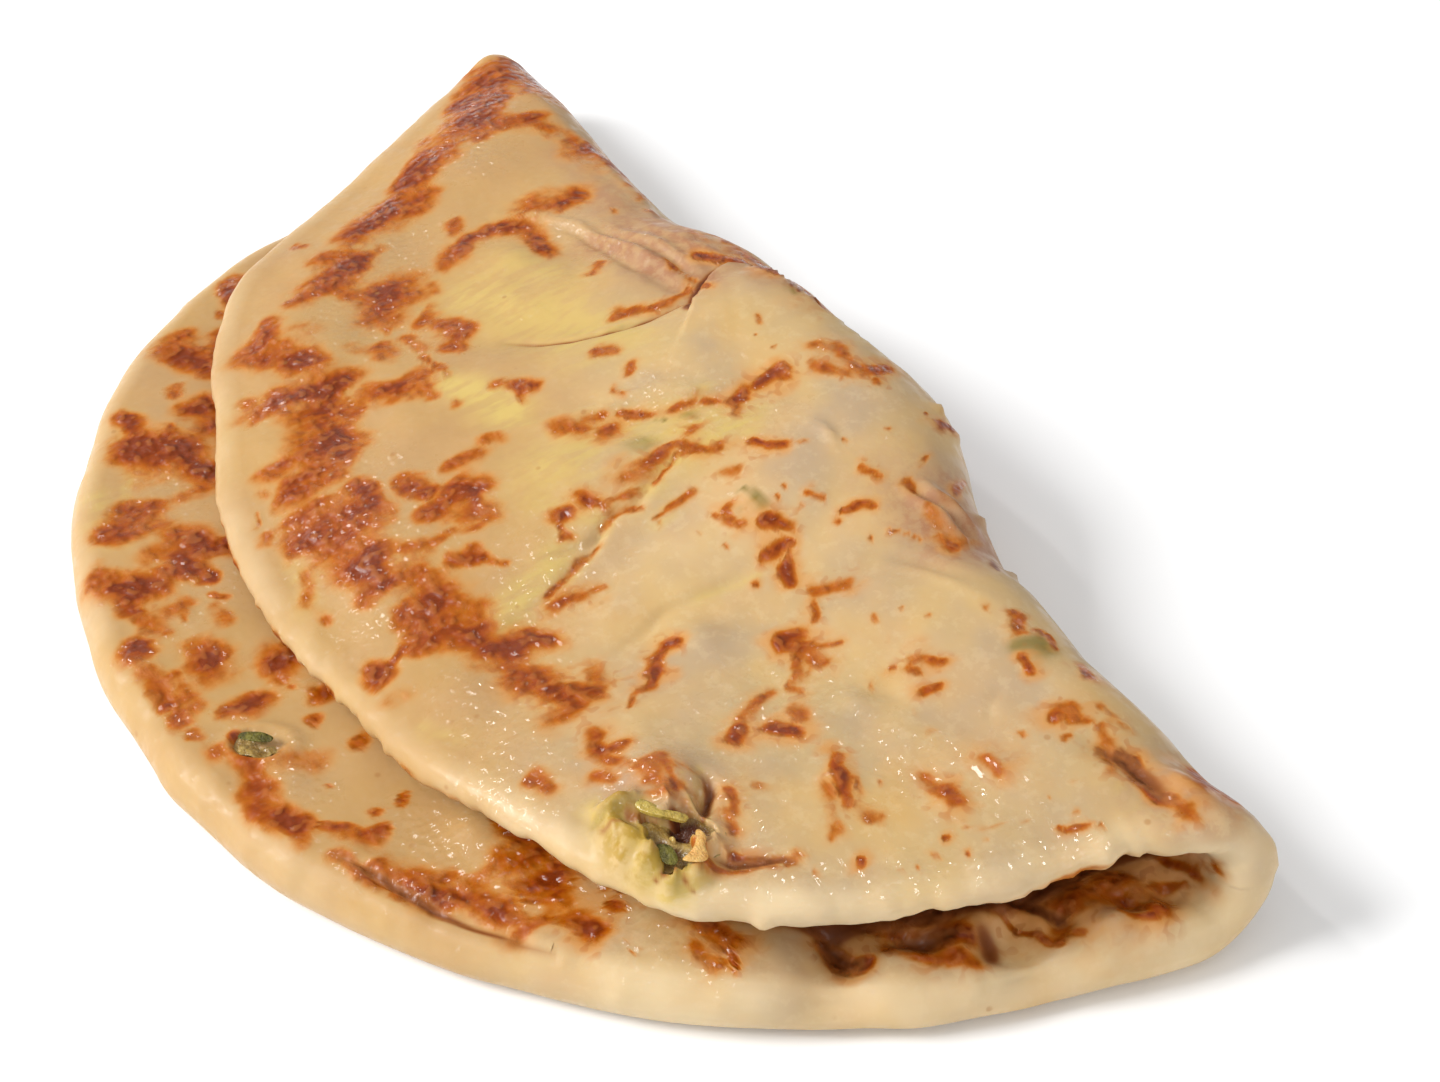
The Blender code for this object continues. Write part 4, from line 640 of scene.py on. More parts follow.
@dataclass(frozen=True)
class FoldForm:
    """The bread's form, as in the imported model: a flat round of dough that is folded over.

    A place in the flat round is x, along the fold, and s, the distance from the fold's back, which is
    negative in the lower layer and positive in the flap.
    """

    rim_radius: float = 110 * MM
    left_tip: float = -123.5 * MM
    right_tip: float = 112 * MM
    line_y: float = 12.6 * MM
    pull_width: float = math.radians(13)
    rim_dents: tuple[tuple[float, float, float], ...] = ((158, 3.5, 13), (46, 1.5, 17), (84, 0.9, 10))
    flap: tuple[tuple[float, float], ...] = (
        (12, 112.5), (25, 114.3), (40, 115.5), (56, 106.5), (75, 99.8), (97, 97.3),
        (116, 97.2), (134, 102.3), (150, 101.5), (163, 106.5), (173, 112.0),
    )
    lower_thickness: float = 9.6 * MM
    flap_thickness: float = 7.4 * MM
    fold_thickness: float = 8.4 * MM
    tip_thinning: float = 0.80
    tip_reach: float = 45 * MM
    thickness_blend: float = 35 * MM
    flap_edge_share: tuple[float, float] = (0.46, 0.64)
    flap_edge_span: tuple[float, float] = (-25 * MM, 50 * MM)
    lower_edge_share: float = 0.94
    edge_band: float = 16 * MM
    nose: float = 4.2 * MM
    bulge: float = 6.6 * MM
    bulge_span: tuple[float, float] = (-38 * MM, 31 * MM)
    bulge_softness: float = 9 * MM
    knob: tuple[float, float, float] = (18 * MM, 2.4 * MM, 14 * MM)
    dip: tuple[float, float, float] = (66 * MM, 2.6 * MM, 26 * MM)
    tip_back: tuple[float, float] = (3.4 * MM, 45 * MM)
    radius_left: float = 6.2 * MM
    radius_right: float = 8.2 * MM
    radius_bulge: float = 3.2 * MM
    opening_share: float = 0.62
    straightening: float = 60 * MM
    layer_gap: float = 0.9 * MM
    seat_blend: float = 14 * MM
    fall_start: float = 25 * MM
    fall_slope: float = 4.2
    mouth: tuple[float, float, float] = (28 * MM, 4.6 * MM, 45 * MM)
    normal_step: float = 0.4 * MM

    @property
    def middle_x(self) -> float:
        """Middle of the fold."""
        return (self.left_tip + self.right_tip) / 2

    @property
    def half_fold(self) -> float:
        """Half the fold's length."""
        return (self.right_tip - self.left_tip) / 2

    def lower_rim(self, bearing: np.ndarray | float) -> np.ndarray:
        """Distance of the lower rim from the fold's middle, for bearings from the right tip.

        Args:
            bearing: Bearings from the right tip.

        Returns:
            The distances.
        """
        along = self.middle_x * np.cos(bearing) - self.line_y * np.sin(bearing)
        offset = self.middle_x**2 + self.line_y**2
        circle = -along + np.sqrt(self.rim_radius**2 - offset + along**2)
        half_chord = math.sqrt(self.rim_radius**2 - self.line_y**2)
        left = (-self.left_tip - half_chord) * bump(bearing, math.pi, self.pull_width)
        right = (self.right_tip - half_chord) * bump(bearing, 0, self.pull_width)
        dents = sum(
            depth * MM * bump(bearing, math.radians(place), math.radians(width))
            for place, depth, width in self.rim_dents
        )
        return circle + left + right - dents

    def flap_rim(self, bearing: np.ndarray) -> np.ndarray:
        """Distance of the flap's rim from the fold's middle.

        Args:
            bearing: Bearings from the right tip.

        Returns:
            The distances.
        """
        ends = [(math.radians(-12), self.flap[0][1] * MM), (0.0, float(self.lower_rim(0.0)))]
        middle = [(math.radians(degrees), distance * MM) for degrees, distance in self.flap]
        far = [(math.pi, float(self.lower_rim(math.pi))), (math.radians(187), self.flap[-1][1] * MM)]
        return spline(ends + middle + far, bearing)

    def tip_share(self, x: np.ndarray) -> np.ndarray:
        """Share of the thickness left near the pulled tip."""
        return self.tip_thinning + (1 - self.tip_thinning) * soft_step(x, self.left_tip, self.tip_reach)

    def thickness(self, x: np.ndarray, s: np.ndarray, r: np.ndarray | float) -> np.ndarray:
        """Thickness of the dough, which is less in the flap and at the flap's edge.

        Args:
            x: Places along the fold.
            s: Distances from the fold's back.
            r: Share of the way to the rim.

        Returns:
            The thickness at each place.
        """
        side = smooth(np.abs(s) / self.thickness_blend)
        layer = np.where(s < 0, self.lower_thickness, self.flap_thickness)
        t = smooth((x - self.flap_edge_span[0]) / (self.flap_edge_span[1] - self.flap_edge_span[0]))
        flap_edge = self.flap_edge_share[0] + (self.flap_edge_share[1] - self.flap_edge_share[0]) * t
        edge = np.where(s < 0, self.lower_edge_share, flap_edge)
        to_edge = smooth(1 - (1 - r) * self.half_fold / self.edge_band) * smooth(np.abs(s) / self.edge_band)
        plain = self.fold_thickness + (layer - self.fold_thickness) * side
        return plain * self.tip_share(x) * (1 - (1 - edge) * to_edge)

    def fold_radius(self, x: np.ndarray) -> np.ndarray:
        """Radius of the fold at the middle of the dough.

        Args:
            x: Places along the fold.

        Returns:
            The radius at each place.
        """
        t = np.clip((x - self.left_tip) / (2 * self.half_fold), 0, 1)
        base = self.radius_left + (self.radius_right - self.radius_left) * smooth(t / self.opening_share)
        return base + self.radius_bulge * plateau(x, self.bulge_span, 2 * self.bulge_softness)

    def fold_back(self, x: np.ndarray) -> np.ndarray:
        """Y of the outermost line of the fold's back.

        Args:
            x: Places along the fold.

        Returns:
            Y at each place.
        """
        back = self.line_y + self.bulge * plateau(x, self.bulge_span, self.bulge_softness)
        back = back + self.knob[1] * bump(x, self.knob[0], self.knob[2])
        back = back - self.dip[1] * bump(x, self.dip[0], self.dip[2])
        return back + self.tip_back[0] * bump(x, self.left_tip, self.tip_back[1])

    def middle_surface(self, x: np.ndarray, s: np.ndarray) -> np.ndarray:
        """Middle of the folded dough.

        Args:
            x: Places along the fold.
            s: Distances from the fold's back.

        Returns:
            One point in each row.
        """
        radius = self.fold_radius(x)
        dough = self.fold_thickness * self.tip_share(x)
        centre_y = self.fold_back(x) - dough / 2 - radius
        quarter = radius * math.pi / 2
        angle = np.clip(s / radius, -math.pi / 2, math.pi / 2)
        run = np.maximum(np.abs(s) - quarter, 0)
        excess = centre_y + quarter - self.line_y
        y = centre_y + radius * np.cos(angle) - run - excess * smooth(run / self.straightening)
        round_z = dough / 2 + radius * (1 + np.sin(angle))
        lower_z = dough / 2 + (self.thickness(x, s, 0) - dough) / 2 * smooth(run / self.seat_blend)
        top_z = dough / 2 + 2 * radius
        lift = self.mouth[1] * soft_step(x, self.mouth[0], self.mouth[2])
        rest_z = self.tip_share(x) * (self.lower_thickness + self.flap_thickness / 2) + self.layer_gap + lift
        drop = top_z - rest_z
        fall = self.fall_start + self.fall_slope * np.abs(drop)
        flap_z = top_z - drop * smooth(run / fall)
        z = np.where(run <= 0, round_z, np.where(s < 0, lower_z, flap_z))
        return np.stack([x, y, z], -1)

    def outward(self, x: np.ndarray, s: np.ndarray) -> np.ndarray:
        """Unit normal of the middle surface, out of the fold.

        Args:
            x: Places along the fold.
            s: Distances from the fold's back.

        Returns:
            One unit vector in each row.
        """
        step = self.normal_step
        along = self.middle_surface(x + step, s) - self.middle_surface(x - step, s)
        across = self.middle_surface(x, s + step) - self.middle_surface(x, s - step)
        normal = np.cross(across, along)
        return normal / np.linalg.norm(normal, axis=-1, keepdims=True)


@dataclass
class FlatPlaces:
    """Where a mesh's points are in the flat round of dough, and on which of its skins."""

    x: np.ndarray
    s: np.ndarray
    r: np.ndarray
    bearing: np.ndarray
    height: np.ndarray
    flap: np.ndarray

    @property
    def outside(self) -> np.ndarray:
        """Share of the outside skin at each point, 0 on the inside one."""
        return soft_step(self.height, -0.15, 0.5)


def flatten(form: FoldForm, cube: np.ndarray, edge_noise: np.ndarray) -> FlatPlaces:
    """Places in the flat round for points of a cube from -1 to 1, whose sides become the rim.

    Args:
        form: The bread's form.
        cube: Points on the cube, one in each row.
        edge_noise: How far the rim stands out at each point.

    Returns:
        The places.
    """
    a, b, c = cube.T
    reach = np.maximum(np.abs(a), np.abs(b))
    wide = np.abs(a) >= np.abs(b)
    ratio = np.where(wide, b, a) / np.where(reach == 0, 1, np.where(wide, a, b))
    turn = np.where(wide, math.pi / 4 * ratio, math.pi / 2 - math.pi / 4 * ratio)
    sign = np.where(wide, np.sign(a), np.sign(b))
    p, q = sign * reach * np.cos(turn), sign * reach * np.sin(turn)
    bearing = np.arctan2(np.abs(q), p)
    rim = np.where(q > 0, form.flap_rim(bearing), form.lower_rim(bearing))
    inner = 1 - form.nose / rim
    skin = np.abs(c) > 0.9999
    nose = np.cos(c * math.pi / 2) ** np.where(q > 0, 0.7, 1.0)
    r = np.where(skin, reach * inner, inner + (1 - inner) * nose)
    height = np.where(skin, np.sign(c), np.sin(c * math.pi / 2))
    distance = r * rim + edge_noise * soft_step(reach, 0.93, 0.07)
    x = form.middle_x + distance * np.cos(bearing)
    s = np.sign(q) * distance * np.sin(bearing)
    return FlatPlaces(x, s, r, bearing, height, q > 0)


def union(parts: list[np.ndarray]) -> np.ndarray:
    """Join fields so that the strongest shows and close ones add a little to each other."""
    return sum(part**4 for part in parts) ** 0.25


def mark_field(
    x: np.ndarray, s: np.ndarray, marks: tuple[tuple[float, ...], ...], spread: float = 1.0
) -> np.ndarray:
    """Strength of a list of marks at each place.

    Args:
        x: Places along the fold.
        s: Distances from the fold's back.
        marks: Marks in millimetres: both ends, half width and strength.
        spread: How many times wider the marks are made.

    Returns:
        The strength, 0 away from the marks.
    """
    total = np.zeros_like(x)
    for x0, s0, x1, s1, width, strength in marks:
        width = width * spread * MM
        reach = width * 2.2
        near = np.flatnonzero(
            (x > min(x0, x1) * MM - reach) & (x < max(x0, x1) * MM + reach)
            & (s > min(s0, s1) * MM - reach) & (s < max(s0, s1) * MM + reach)
        )
        distance, _ = segment_distance(x[near], s[near], (x0 * MM, s0 * MM), (x1 * MM, s1 * MM))
        total[near] += (strength * bump(distance, 0, width)) ** 4
    return total**0.25


def line_field(
    x: np.ndarray, s: np.ndarray, points: tuple[tuple[float, float], ...], width: float
) -> np.ndarray:
    """Strength of a thin line that fades towards both ends.

    Args:
        x: Places along the fold.
        s: Distances from the fold's back.
        points: The line's points, in millimetres.
        width: Half the line's width.

    Returns:
        The strength, 1 in the line's middle.
    """
    total = np.zeros_like(x)
    steps = len(points) - 1
    for i in range(steps):
        start, end = np.array(points[i]) * MM, np.array(points[i + 1]) * MM
        distance, along = segment_distance(x, s, start, end)
        fade = np.sin(math.pi * (0.12 + 0.76 * (i + along) / steps))
        total = np.maximum(total, bump(distance, 0, width) * fade)
    return total


@dataclass(frozen=True)
class Lumps:
    """Soft lumps that the filling pushes up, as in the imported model."""

    height: float = 1.5 * MM
    count: int = 46
    seed: int = 11
    widths: tuple[float, float] = (9 * MM, 17 * MM)
    clear: tuple[float, float] = (0.78, 0.98)

    def at(self, form: FoldForm, places: FlatPlaces) -> np.ndarray:
        """Height of the lumps, which end before the rim.

        Args:
            form: The bread's form.
            places: Places in the flat dough.

        Returns:
            The height at each place.
        """
        draw = np.random.default_rng(self.seed)
        height = np.zeros_like(places.x)
        for _ in range(self.count):
            centre = draw.uniform(-1, 1, 2) * (form.half_fold, form.rim_radius)
            width = draw.uniform(*self.widths)
            size = draw.uniform(0.3, 1.0)
            away = np.hypot(places.x - centre[0], places.s - centre[1])
            height = np.maximum(height, size * bump(away, 0, width))
        clear = 1 - smooth((places.r - self.clear[0]) / (self.clear[1] - self.clear[0]))
        return self.height * height * clear


@dataclass(frozen=True)
class Folds:
    """Large creases, pinches and the torn skin's lip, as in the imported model."""

    creases: tuple[tuple[float, ...], ...] = (
        (-17, 24, -36, 55, 1.5), (15, 31, 26, 66, 1.8), (16, 12, -6, 56, 1.2), (-67, 28, -24, 21, 1.3),
        (40, 34, 36, 60, 1.0), (90, 13, 100, 2, 2.0), (50, 6, 44, 30, 1.0),
    )
    crease_width: float = 5.5 * MM
    lip: float = 1.4 * MM
    blister: tuple[float, float, float, float] = (66 * MM, 67 * MM, 2.4 * MM, 5.5 * MM)
    pinches: tuple[tuple[float, float], ...] = ((30.5, 2.6), (24.5, 1.2), (18, 2.8))
    pinch_width: float = math.radians(2.6)

    def outside(self, places: FlatPlaces) -> np.ndarray:
        """Height of the creases, the lip and the blister.

        Args:
            places: Places in the flat dough.

        Returns:
            The height at each place.
        """
        x, s = places.x, places.s
        height = np.zeros_like(x)
        for x0, s0, x1, s1, depth in self.creases:
            distance, along = segment_distance(x, s, (x0 * MM, s0 * MM), (x1 * MM, s1 * MM))
            fade = np.sin(math.pi * (0.15 + 0.7 * along))
            height -= depth * MM * bump(distance, 0, self.crease_width) * fade
        lip = soft_step(x, -20 * MM, 5 * MM) * bump(x, -20 * MM, 34 * MM) * bump(s, 13 * MM, 16 * MM)
        away = np.hypot(x - self.blister[0], s - self.blister[1])
        return height + self.lip * lip + self.blister[2] * bump(away, 0, self.blister[3])

    def inside(self, places: FlatPlaces) -> np.ndarray:
        """Depth of the pinches in the lower rim, at the mouth.

        Args:
            places: Places in the flat dough.

        Returns:
            The height at each place, below 0.
        """
        lower = smooth(-places.s / (15 * MM) - 1)
        near_rim = soft_step(places.r, 0.78, 0.12)
        depth = sum(
            depth * MM * bump(places.bearing, math.radians(place), self.pinch_width)
            for place, depth in self.pinches
        )
        return -depth * near_rim * lower


@dataclass(frozen=True)
class Burst:
    """A place where the dough has burst and the filling shows."""

    place: tuple[float, float]
    face: Face
    size: tuple[float, float, float]
    turn: float
    share_out: float = 0.9
    rise: float = 0.45
    bumps: float = 0.12
    small_bumps: float = 0.072

    def directions(self, form: FoldForm) -> tuple[np.ndarray, np.ndarray, np.ndarray, np.ndarray]:
        """Centre on the dough's surface, two directions along it, and its normal.

        Args:
            form: The bread's form.

        Returns:
            The centre and the three unit vectors.
        """
        places = np.array(self.place) + np.array([(0, 0), (MM, 0), (0, MM)])
        x, s = places.T
        normal = form.outward(x, s) * self.face.value
        surface = form.middle_surface(x, s) + normal * form.thickness(x, s, self.share_out)[:, None] / 2
        along, across = surface[1:] - surface[0]
        first = math.cos(self.turn) * along + math.sin(self.turn) * across
        first /= np.linalg.norm(first)
        second = np.cross(normal[0], first) * self.face.value
        return surface[0], first, second, normal[0]

    def spread(self, places: FlatPlaces) -> np.ndarray:
        """Distance from the burst's centre in the flat dough, 1 at its edge.

        Args:
            places: Places in the flat dough.

        Returns:
            The distance at each place.
        """
        dx, ds = places.x - self.place[0], places.s - self.place[1]
        first = (math.cos(self.turn) * dx + math.sin(self.turn) * ds) / self.size[0]
        second = (math.cos(self.turn) * ds - math.sin(self.turn) * dx) / self.size[1]
        return np.hypot(first, second)

    def surface(self, form: FoldForm, ways: np.ndarray, gap: np.ndarray | float) -> np.ndarray:
        """Places on the filling's lumpy surface, or a gap outside it.

        Args:
            form: The bread's form.
            ways: Unit directions from the burst's centre, one in each column.
            gap: Distance outside the surface.

        Returns:
            One point in each row.
        """
        dx, dy, dz = ways
        large = np.sin(5 * dx + 1) * np.sin(6 * dy + 2)
        small = np.sin(9 * dx - 4 * dz) * np.cos(8 * dy)
        size = np.array(self.size)[:, None] * (1 + self.bumps * large + self.small_bumps * small)
        size[2] *= np.where(dz > 0, self.rise, 1)
        centre, first, second, normal = self.directions(form)
        return centre + (ways * (size + gap)).T @ np.stack([first, second, normal])


FLAP_BURST = Burst((73.5 * MM, 72.3 * MM), Face.OUTSIDE, (8.6 * MM, 6.4 * MM, 3.0 * MM), math.radians(-40))
LOWER_BURST = Burst((20.6 * MM, -107.5 * MM), Face.INSIDE, (4.6 * MM, 3.2 * MM, 2.0 * MM), math.radians(60))


class Bench:
    """Adds and links the shader nodes of one material."""

    def __init__(self, name: str) -> None:
        """Start a material with a Principled shader.

        Args:
            name: The material's name.
        """
        self.material = bpy.data.materials.new(name)
        self.material.use_nodes = True
        self.tree = self.material.node_tree
        self.shader = self.tree.nodes["Principled BSDF"]
        self.place = self.tree.nodes.new("ShaderNodeTexCoord").outputs["Object"]

    def link(self, value: object, socket: bpy.types.NodeSocket) -> None:
        """Set a socket from another socket, a number or a colour."""
        if isinstance(value, bpy.types.NodeSocket):
            self.tree.links.new(value, socket)
        elif isinstance(value, tuple) and len(value) == 3 and socket.type == "RGBA":
            socket.default_value = (*value, 1)
        else:
            socket.default_value = value

    def node(
        self, kind: str, output: int | str, values: dict[int | str, object], **settings: object
    ) -> bpy.types.NodeSocket:
        """Add a node.

        Args:
            kind: Its type.
            output: The output that is used.
            values: What goes into its inputs, by name or number.
            settings: Its own settings.

        Returns:
            The output's socket.
        """
        node = self.tree.nodes.new("ShaderNode" + kind)
        for name, value in settings.items():
            setattr(node, name, value)
        for name, value in values.items():
            self.link(value, node.inputs[name])
        return node.outputs[output]

    def field(self, name: str) -> bpy.types.NodeSocket:
        """Value of one of the mesh's attributes."""
        return self.node("Attribute", "Fac", {}, attribute_name=name)

    def noise(
        self, size: float, detail: float = 3, roughness: float = 0.55, stretch: float = 1, low: float = 0.3
    ) -> bpy.types.NodeSocket:
        """Noise on the object's coordinates.

        Args:
            size: Size of a lump.
            detail: How many finer layers it has.
            roughness: How strong they are.
            stretch: How far the lumps are drawn out along Y.
            low: The noise from low to 1 - low is spread to the span from 0 to 1.

        Returns:
            The noise's socket.
        """
        place = self.node("VectorMath", 0, {0: self.place, 1: (1, 1 / stretch, 1)}, operation="MULTIPLY")
        values = {"Vector": place, "Scale": 1 / size, "Detail": detail, "Roughness": roughness}
        return self.fit(self.node("TexNoise", "Fac", values), low, 1 - low)

    def cells(self, size: float) -> bpy.types.NodeSocket:
        """Distance from the middle of the nearest of many small cells."""
        return self.node("TexVoronoi", "Distance", {"Vector": self.place, "Scale": 1 / size})

    def fit(
        self, value: object, low: float, high: float, start: float = 0, end: float = 1
    ) -> bpy.types.NodeSocket:
        """Move the span from low to high onto the one from start to end, softly and no further."""
        values = {"Value": value, "From Min": low, "From Max": high, "To Min": start, "To Max": end}
        return self.node("MapRange", "Result", values, interpolation_type="SMOOTHSTEP")

    def sum(self, operation: str, first: object, second: object, clamp: bool = False) -> bpy.types.NodeSocket:
        """Join two values with a Math node."""
        return self.node("Math", 0, {0: first, 1: second}, operation=operation, use_clamp=clamp)

    def times(self, first: object, second: object, clamp: bool = False) -> bpy.types.NodeSocket:
        """Multiply two values."""
        return self.sum("MULTIPLY", first, second, clamp)

    def mix(self, share: object, first: object, second: object, blend: str = "MIX") -> bpy.types.NodeSocket:
        """Mix two colours, with share of the second one."""
        values = {0: share, 6: first, 7: second}
        return self.node("Mix", 2, values, data_type="RGBA", blend_type=blend)

    def relief(self, height: object, distance: float) -> bpy.types.NodeSocket:
        """Bump from a height between 0 and 1, which stands out by distance."""
        return self.node("Bump", "Normal", {"Height": height, "Distance": distance})

    def ramp(self, value: object, stops: tuple[tuple[float, tuple[float, ...]], ...]) -> bpy.types.NodeSocket:
        """Colour that changes with a value, through the stops given.

        Args:
            value: A socket or a number.
            stops: Places and colours, in rising order.

        Returns:
            The colour's socket.
        """
        node = self.tree.nodes.new("ShaderNodeValToRGB")
        self.link(value, node.inputs["Fac"])
        points = node.color_ramp.elements
        while len(points) < len(stops):
            points.new(0.5)
        for point, (place, colour) in zip(points, stops):
            point.position = place
            point.color = (*colour, 1)
        return node.outputs["Color"]

    def set(self, **values: object) -> None:
        """Set the shader's own sockets, with underscores for the spaces in their names."""
        for name, value in values.items():
            self.link(value, self.shader.inputs[name.replace("_", " ")])


@dataclass(frozen=True)
class DoughFinish:
    """Soft baked dough: pale, browned in spots, yellow where the filling shows through, and oily."""

    pale: tuple[float, float, float] = (0.51, 0.355, 0.19)
    warm: tuple[float, float, float] = (0.48, 0.285, 0.115)
    cool: tuple[float, float, float] = (0.375, 0.27, 0.17)
    buttery: tuple[float, float, float] = (0.54, 0.365, 0.125)
    floury: tuple[float, float, float] = (0.63, 0.495, 0.30)
    yellow: tuple[float, float, float] = (0.51, 0.365, 0.115)
    ochre: tuple[float, float, float] = (0.35, 0.215, 0.030)
    green: tuple[float, float, float] = (0.15, 0.115, 0.014)
    pink: tuple[float, float, float] = (0.33, 0.155, 0.078)
    # Painted warm light: brightens and warms the shaded inside of the mouth
    painted_mouth_glow: tuple[float, float, float] = (1.75, 1.4, 1.15)
    tan: tuple[float, float, float] = (0.40, 0.225, 0.085)
    dots: tuple[float, float, float] = (0.33, 0.15, 0.045)
    toasted: tuple[float, float, float] = (0.52, 0.235, 0.062)
    freckle: tuple[float, float, float] = (0.37, 0.115, 0.022)
    browns: tuple[tuple[float, tuple[float, float, float]], ...] = (
        (0.10, (0.48, 0.210, 0.038)),
        (0.34, (0.41, 0.128, 0.008)),
        (0.60, (0.33, 0.077, 0.003)),
        (0.84, (0.25, 0.044, 0.002)),
        (1.0, (0.175, 0.027, 0.003)),
    )
    # Colours of the painted shade in holes, grooves and under the flap
    shade_colours: tuple[tuple[float, tuple[float, float, float]], ...] = (
        (0.10, (0.40, 0.205, 0.060)),
        (0.45, (0.25, 0.080, 0.018)),
        (0.95, (0.085, 0.017, 0.005)),
    )
    roughness: tuple[float, float] = (0.30, 0.52)

    def material(self) -> bpy.types.Material:
        """Make the finish.

        Returns:
            A material that reads the bread's attributes.
        """
        bench = Bench("dough")
        broad = bench.noise(26 * MM, 3)
        patchy = bench.noise(8 * MM, 4)
        fine = bench.noise(2.2 * MM, 4, 0.65)

        tone = bench.sum("ADD", bench.times(broad, 0.55), bench.times(patchy, 0.45))
        base = bench.mix(tone, self.pale, self.warm)
        toasty = bench.field("toasty")
        grey = bench.times(bench.noise(15 * MM, 2), bench.fit(toasty, 0, 1, 0.95, 0.55))
        base = bench.mix(grey, base, self.cool)
        rich = bench.times(bench.noise(19 * MM, 3), bench.fit(toasty, 0, 1, 0.45, 0.8))
        base = bench.mix(rich, base, self.buttery)
        base = bench.mix(bench.times(bench.fit(fine, 0.55, 1.0), 0.15), base, self.floury)
        base = bench.mix(bench.fit(toasty, 0, 1, 0, 0.72), base, self.tan)
        rim = bench.mix(bench.fit(broad, 0.35, 0.9, 0, 0.55), self.floury, self.buttery)
        base = bench.mix(bench.field("floury"), base, rim)
        streaks = bench.noise(1.8 * MM, 3, 0.55, 4.5)
        yellow = bench.times(bench.field("yellow"), bench.fit(streaks, 0.1, 0.8, 0.5, 1.1), True)
        base = bench.mix(yellow, base, self.yellow)
        seeping = bench.fit(bench.noise(2.4 * MM, 3), 0.1, 0.8, 0.35, 1)
        base = bench.mix(bench.times(bench.field("ochre"), seeping), base, self.ochre)
        base = bench.mix(bench.times(bench.field("green"), 0.85), base, self.green)
        pink = bench.times(bench.field("pink"), bench.fit(fine, 0.1, 0.9, 0.55, 1))
        base = bench.mix(pink, base, self.pink)

        # Painted warm light on the shaded inside of the mouth
        base = bench.mix(bench.field("painted_mouth_glow"), base, self.painted_mouth_glow, "MULTIPLY")
        blotch = bench.noise(4.2 * MM, 3, 0.5, 2.2)
        halo = bench.field("halo")
        wash = bench.times(halo, bench.fit(blotch, 0, 1, 0.6, 1.3))
        base = bench.mix(bench.fit(wash, 0.22, 0.95, 0, 0.72), base, self.toasted)

        brown = bench.times(bench.field("brown"), bench.fit(blotch, 0, 1, 0.62, 1.22))
        present = bench.fit(brown, 0.02, 0.45)
        swing = bench.times(bench.sum("SUBTRACT", fine, 0.5), 0.10)
        brown = bench.sum("ADD", brown, bench.times(swing, present))
        base = bench.mix(bench.fit(brown, 0.05, 0.52), base, bench.ramp(brown, self.browns))
        freckle = bench.fit(bench.noise(1.5 * MM, 0), 0.75, 1.0, 0, 0.45)
        base = bench.mix(bench.times(freckle, bench.fit(halo, 0.3, 0.8)), base, self.freckle)
        dot = bench.fit(bench.cells(6.5 * MM), 0.04, 0.10, 0.5, 0)
        dotted = bench.fit(bench.noise(9 * MM, 1), 0.35, 0.8)
        base = bench.mix(bench.times(dot, dotted), base, self.dots)
        # Painted shade in holes, grooves and under the flap's edge
        painted_shade = bench.field("painted_shade")
        base = bench.mix(bench.fit(painted_shade, 0.04, 0.6), base, bench.ramp(painted_shade, self.shade_colours))

        gloss = bench.field("gloss")
        rough = bench.fit(bench.noise(3.0 * MM, 3), 0.2, 0.8, self.roughness[0], self.roughness[1])
        rough = bench.sum("SUBTRACT", rough, bench.times(gloss, 0.16), True)
        rough = bench.sum("ADD", rough, bench.times(bench.field("floury"), 0.16), True)
        wet = bench.fit(brown, 0.1, 0.8, 0.05, 1)
        normal = bench.relief(bench.times(bench.noise(1.5 * MM, 0, low=0.1), wet), 0.45 * MM)
        beads = bench.relief(bench.noise(1.3 * MM, 0, low=0.1), 0.8 * MM)
        bench.set(
            Base_Color=base, Roughness=rough, Normal=normal, Subsurface_Weight=0.22,
            Subsurface_Radius=(1.0, 0.55, 0.28), Subsurface_Scale=2.6 * MM,
            Coat_Weight=bench.fit(gloss, 0.05, 0.8, 0.05, 0.75), Coat_Roughness=0.08, Coat_Normal=beads,
            Specular_IOR_Level=0.17,
        )
        return bench.material


@dataclass(frozen=True)
class MoistFinish:
    """Soft moist vegetable or filling, with two tones, painted shade in its hollows and a wet gloss."""

    name: str
    light: tuple[float, float, float]
    dark: tuple[float, float, float]
    scale: float
    roughness: float = 0.25
    coat: float = 0.5
    depth: float = 1.5 * MM
    # Colour of the painted shade in the hollows
    hollow: tuple[float, float, float] = (0.10, 0.026, 0.008)

    def material(self) -> bpy.types.Material:
        """Make the finish.

        Returns:
            A material on object coordinates.
        """
        bench = Bench(self.name)
        tone = bench.noise(self.scale, 4, 0.6)
        fine = bench.noise(self.scale / 3, 3)
        colour = bench.mix(tone, self.dark, self.light)
        # Painted shade: darker in the hollows
        painted_shade = bench.field("painted_shade")
        colour = bench.mix(bench.fit(painted_shade, 0.1, 1), colour, self.hollow)
        rough = bench.fit(fine, 0, 1, self.roughness * 0.8, self.roughness * 1.5)
        height = bench.sum("ADD", tone, bench.times(fine, 0.5))
        bench.set(
            Base_Color=colour, Roughness=rough, Normal=bench.relief(height, 0.25 * MM), Subsurface_Weight=0.3,
            Subsurface_Radius=(1.0, 0.8, 0.3), Subsurface_Scale=self.depth,
            Coat_Weight=bench.fit(painted_shade, 0, 0.8, self.coat, 0), Coat_Roughness=0.1, Specular_IOR_Level=0.3,
        )
        return bench.material


def deselect() -> None:
    """Leave edit mode and deselect every object."""
    if bpy.context.object and bpy.context.object.mode != "OBJECT":
        bpy.ops.object.mode_set(mode="OBJECT")
    bpy.ops.object.select_all(action="DESELECT")


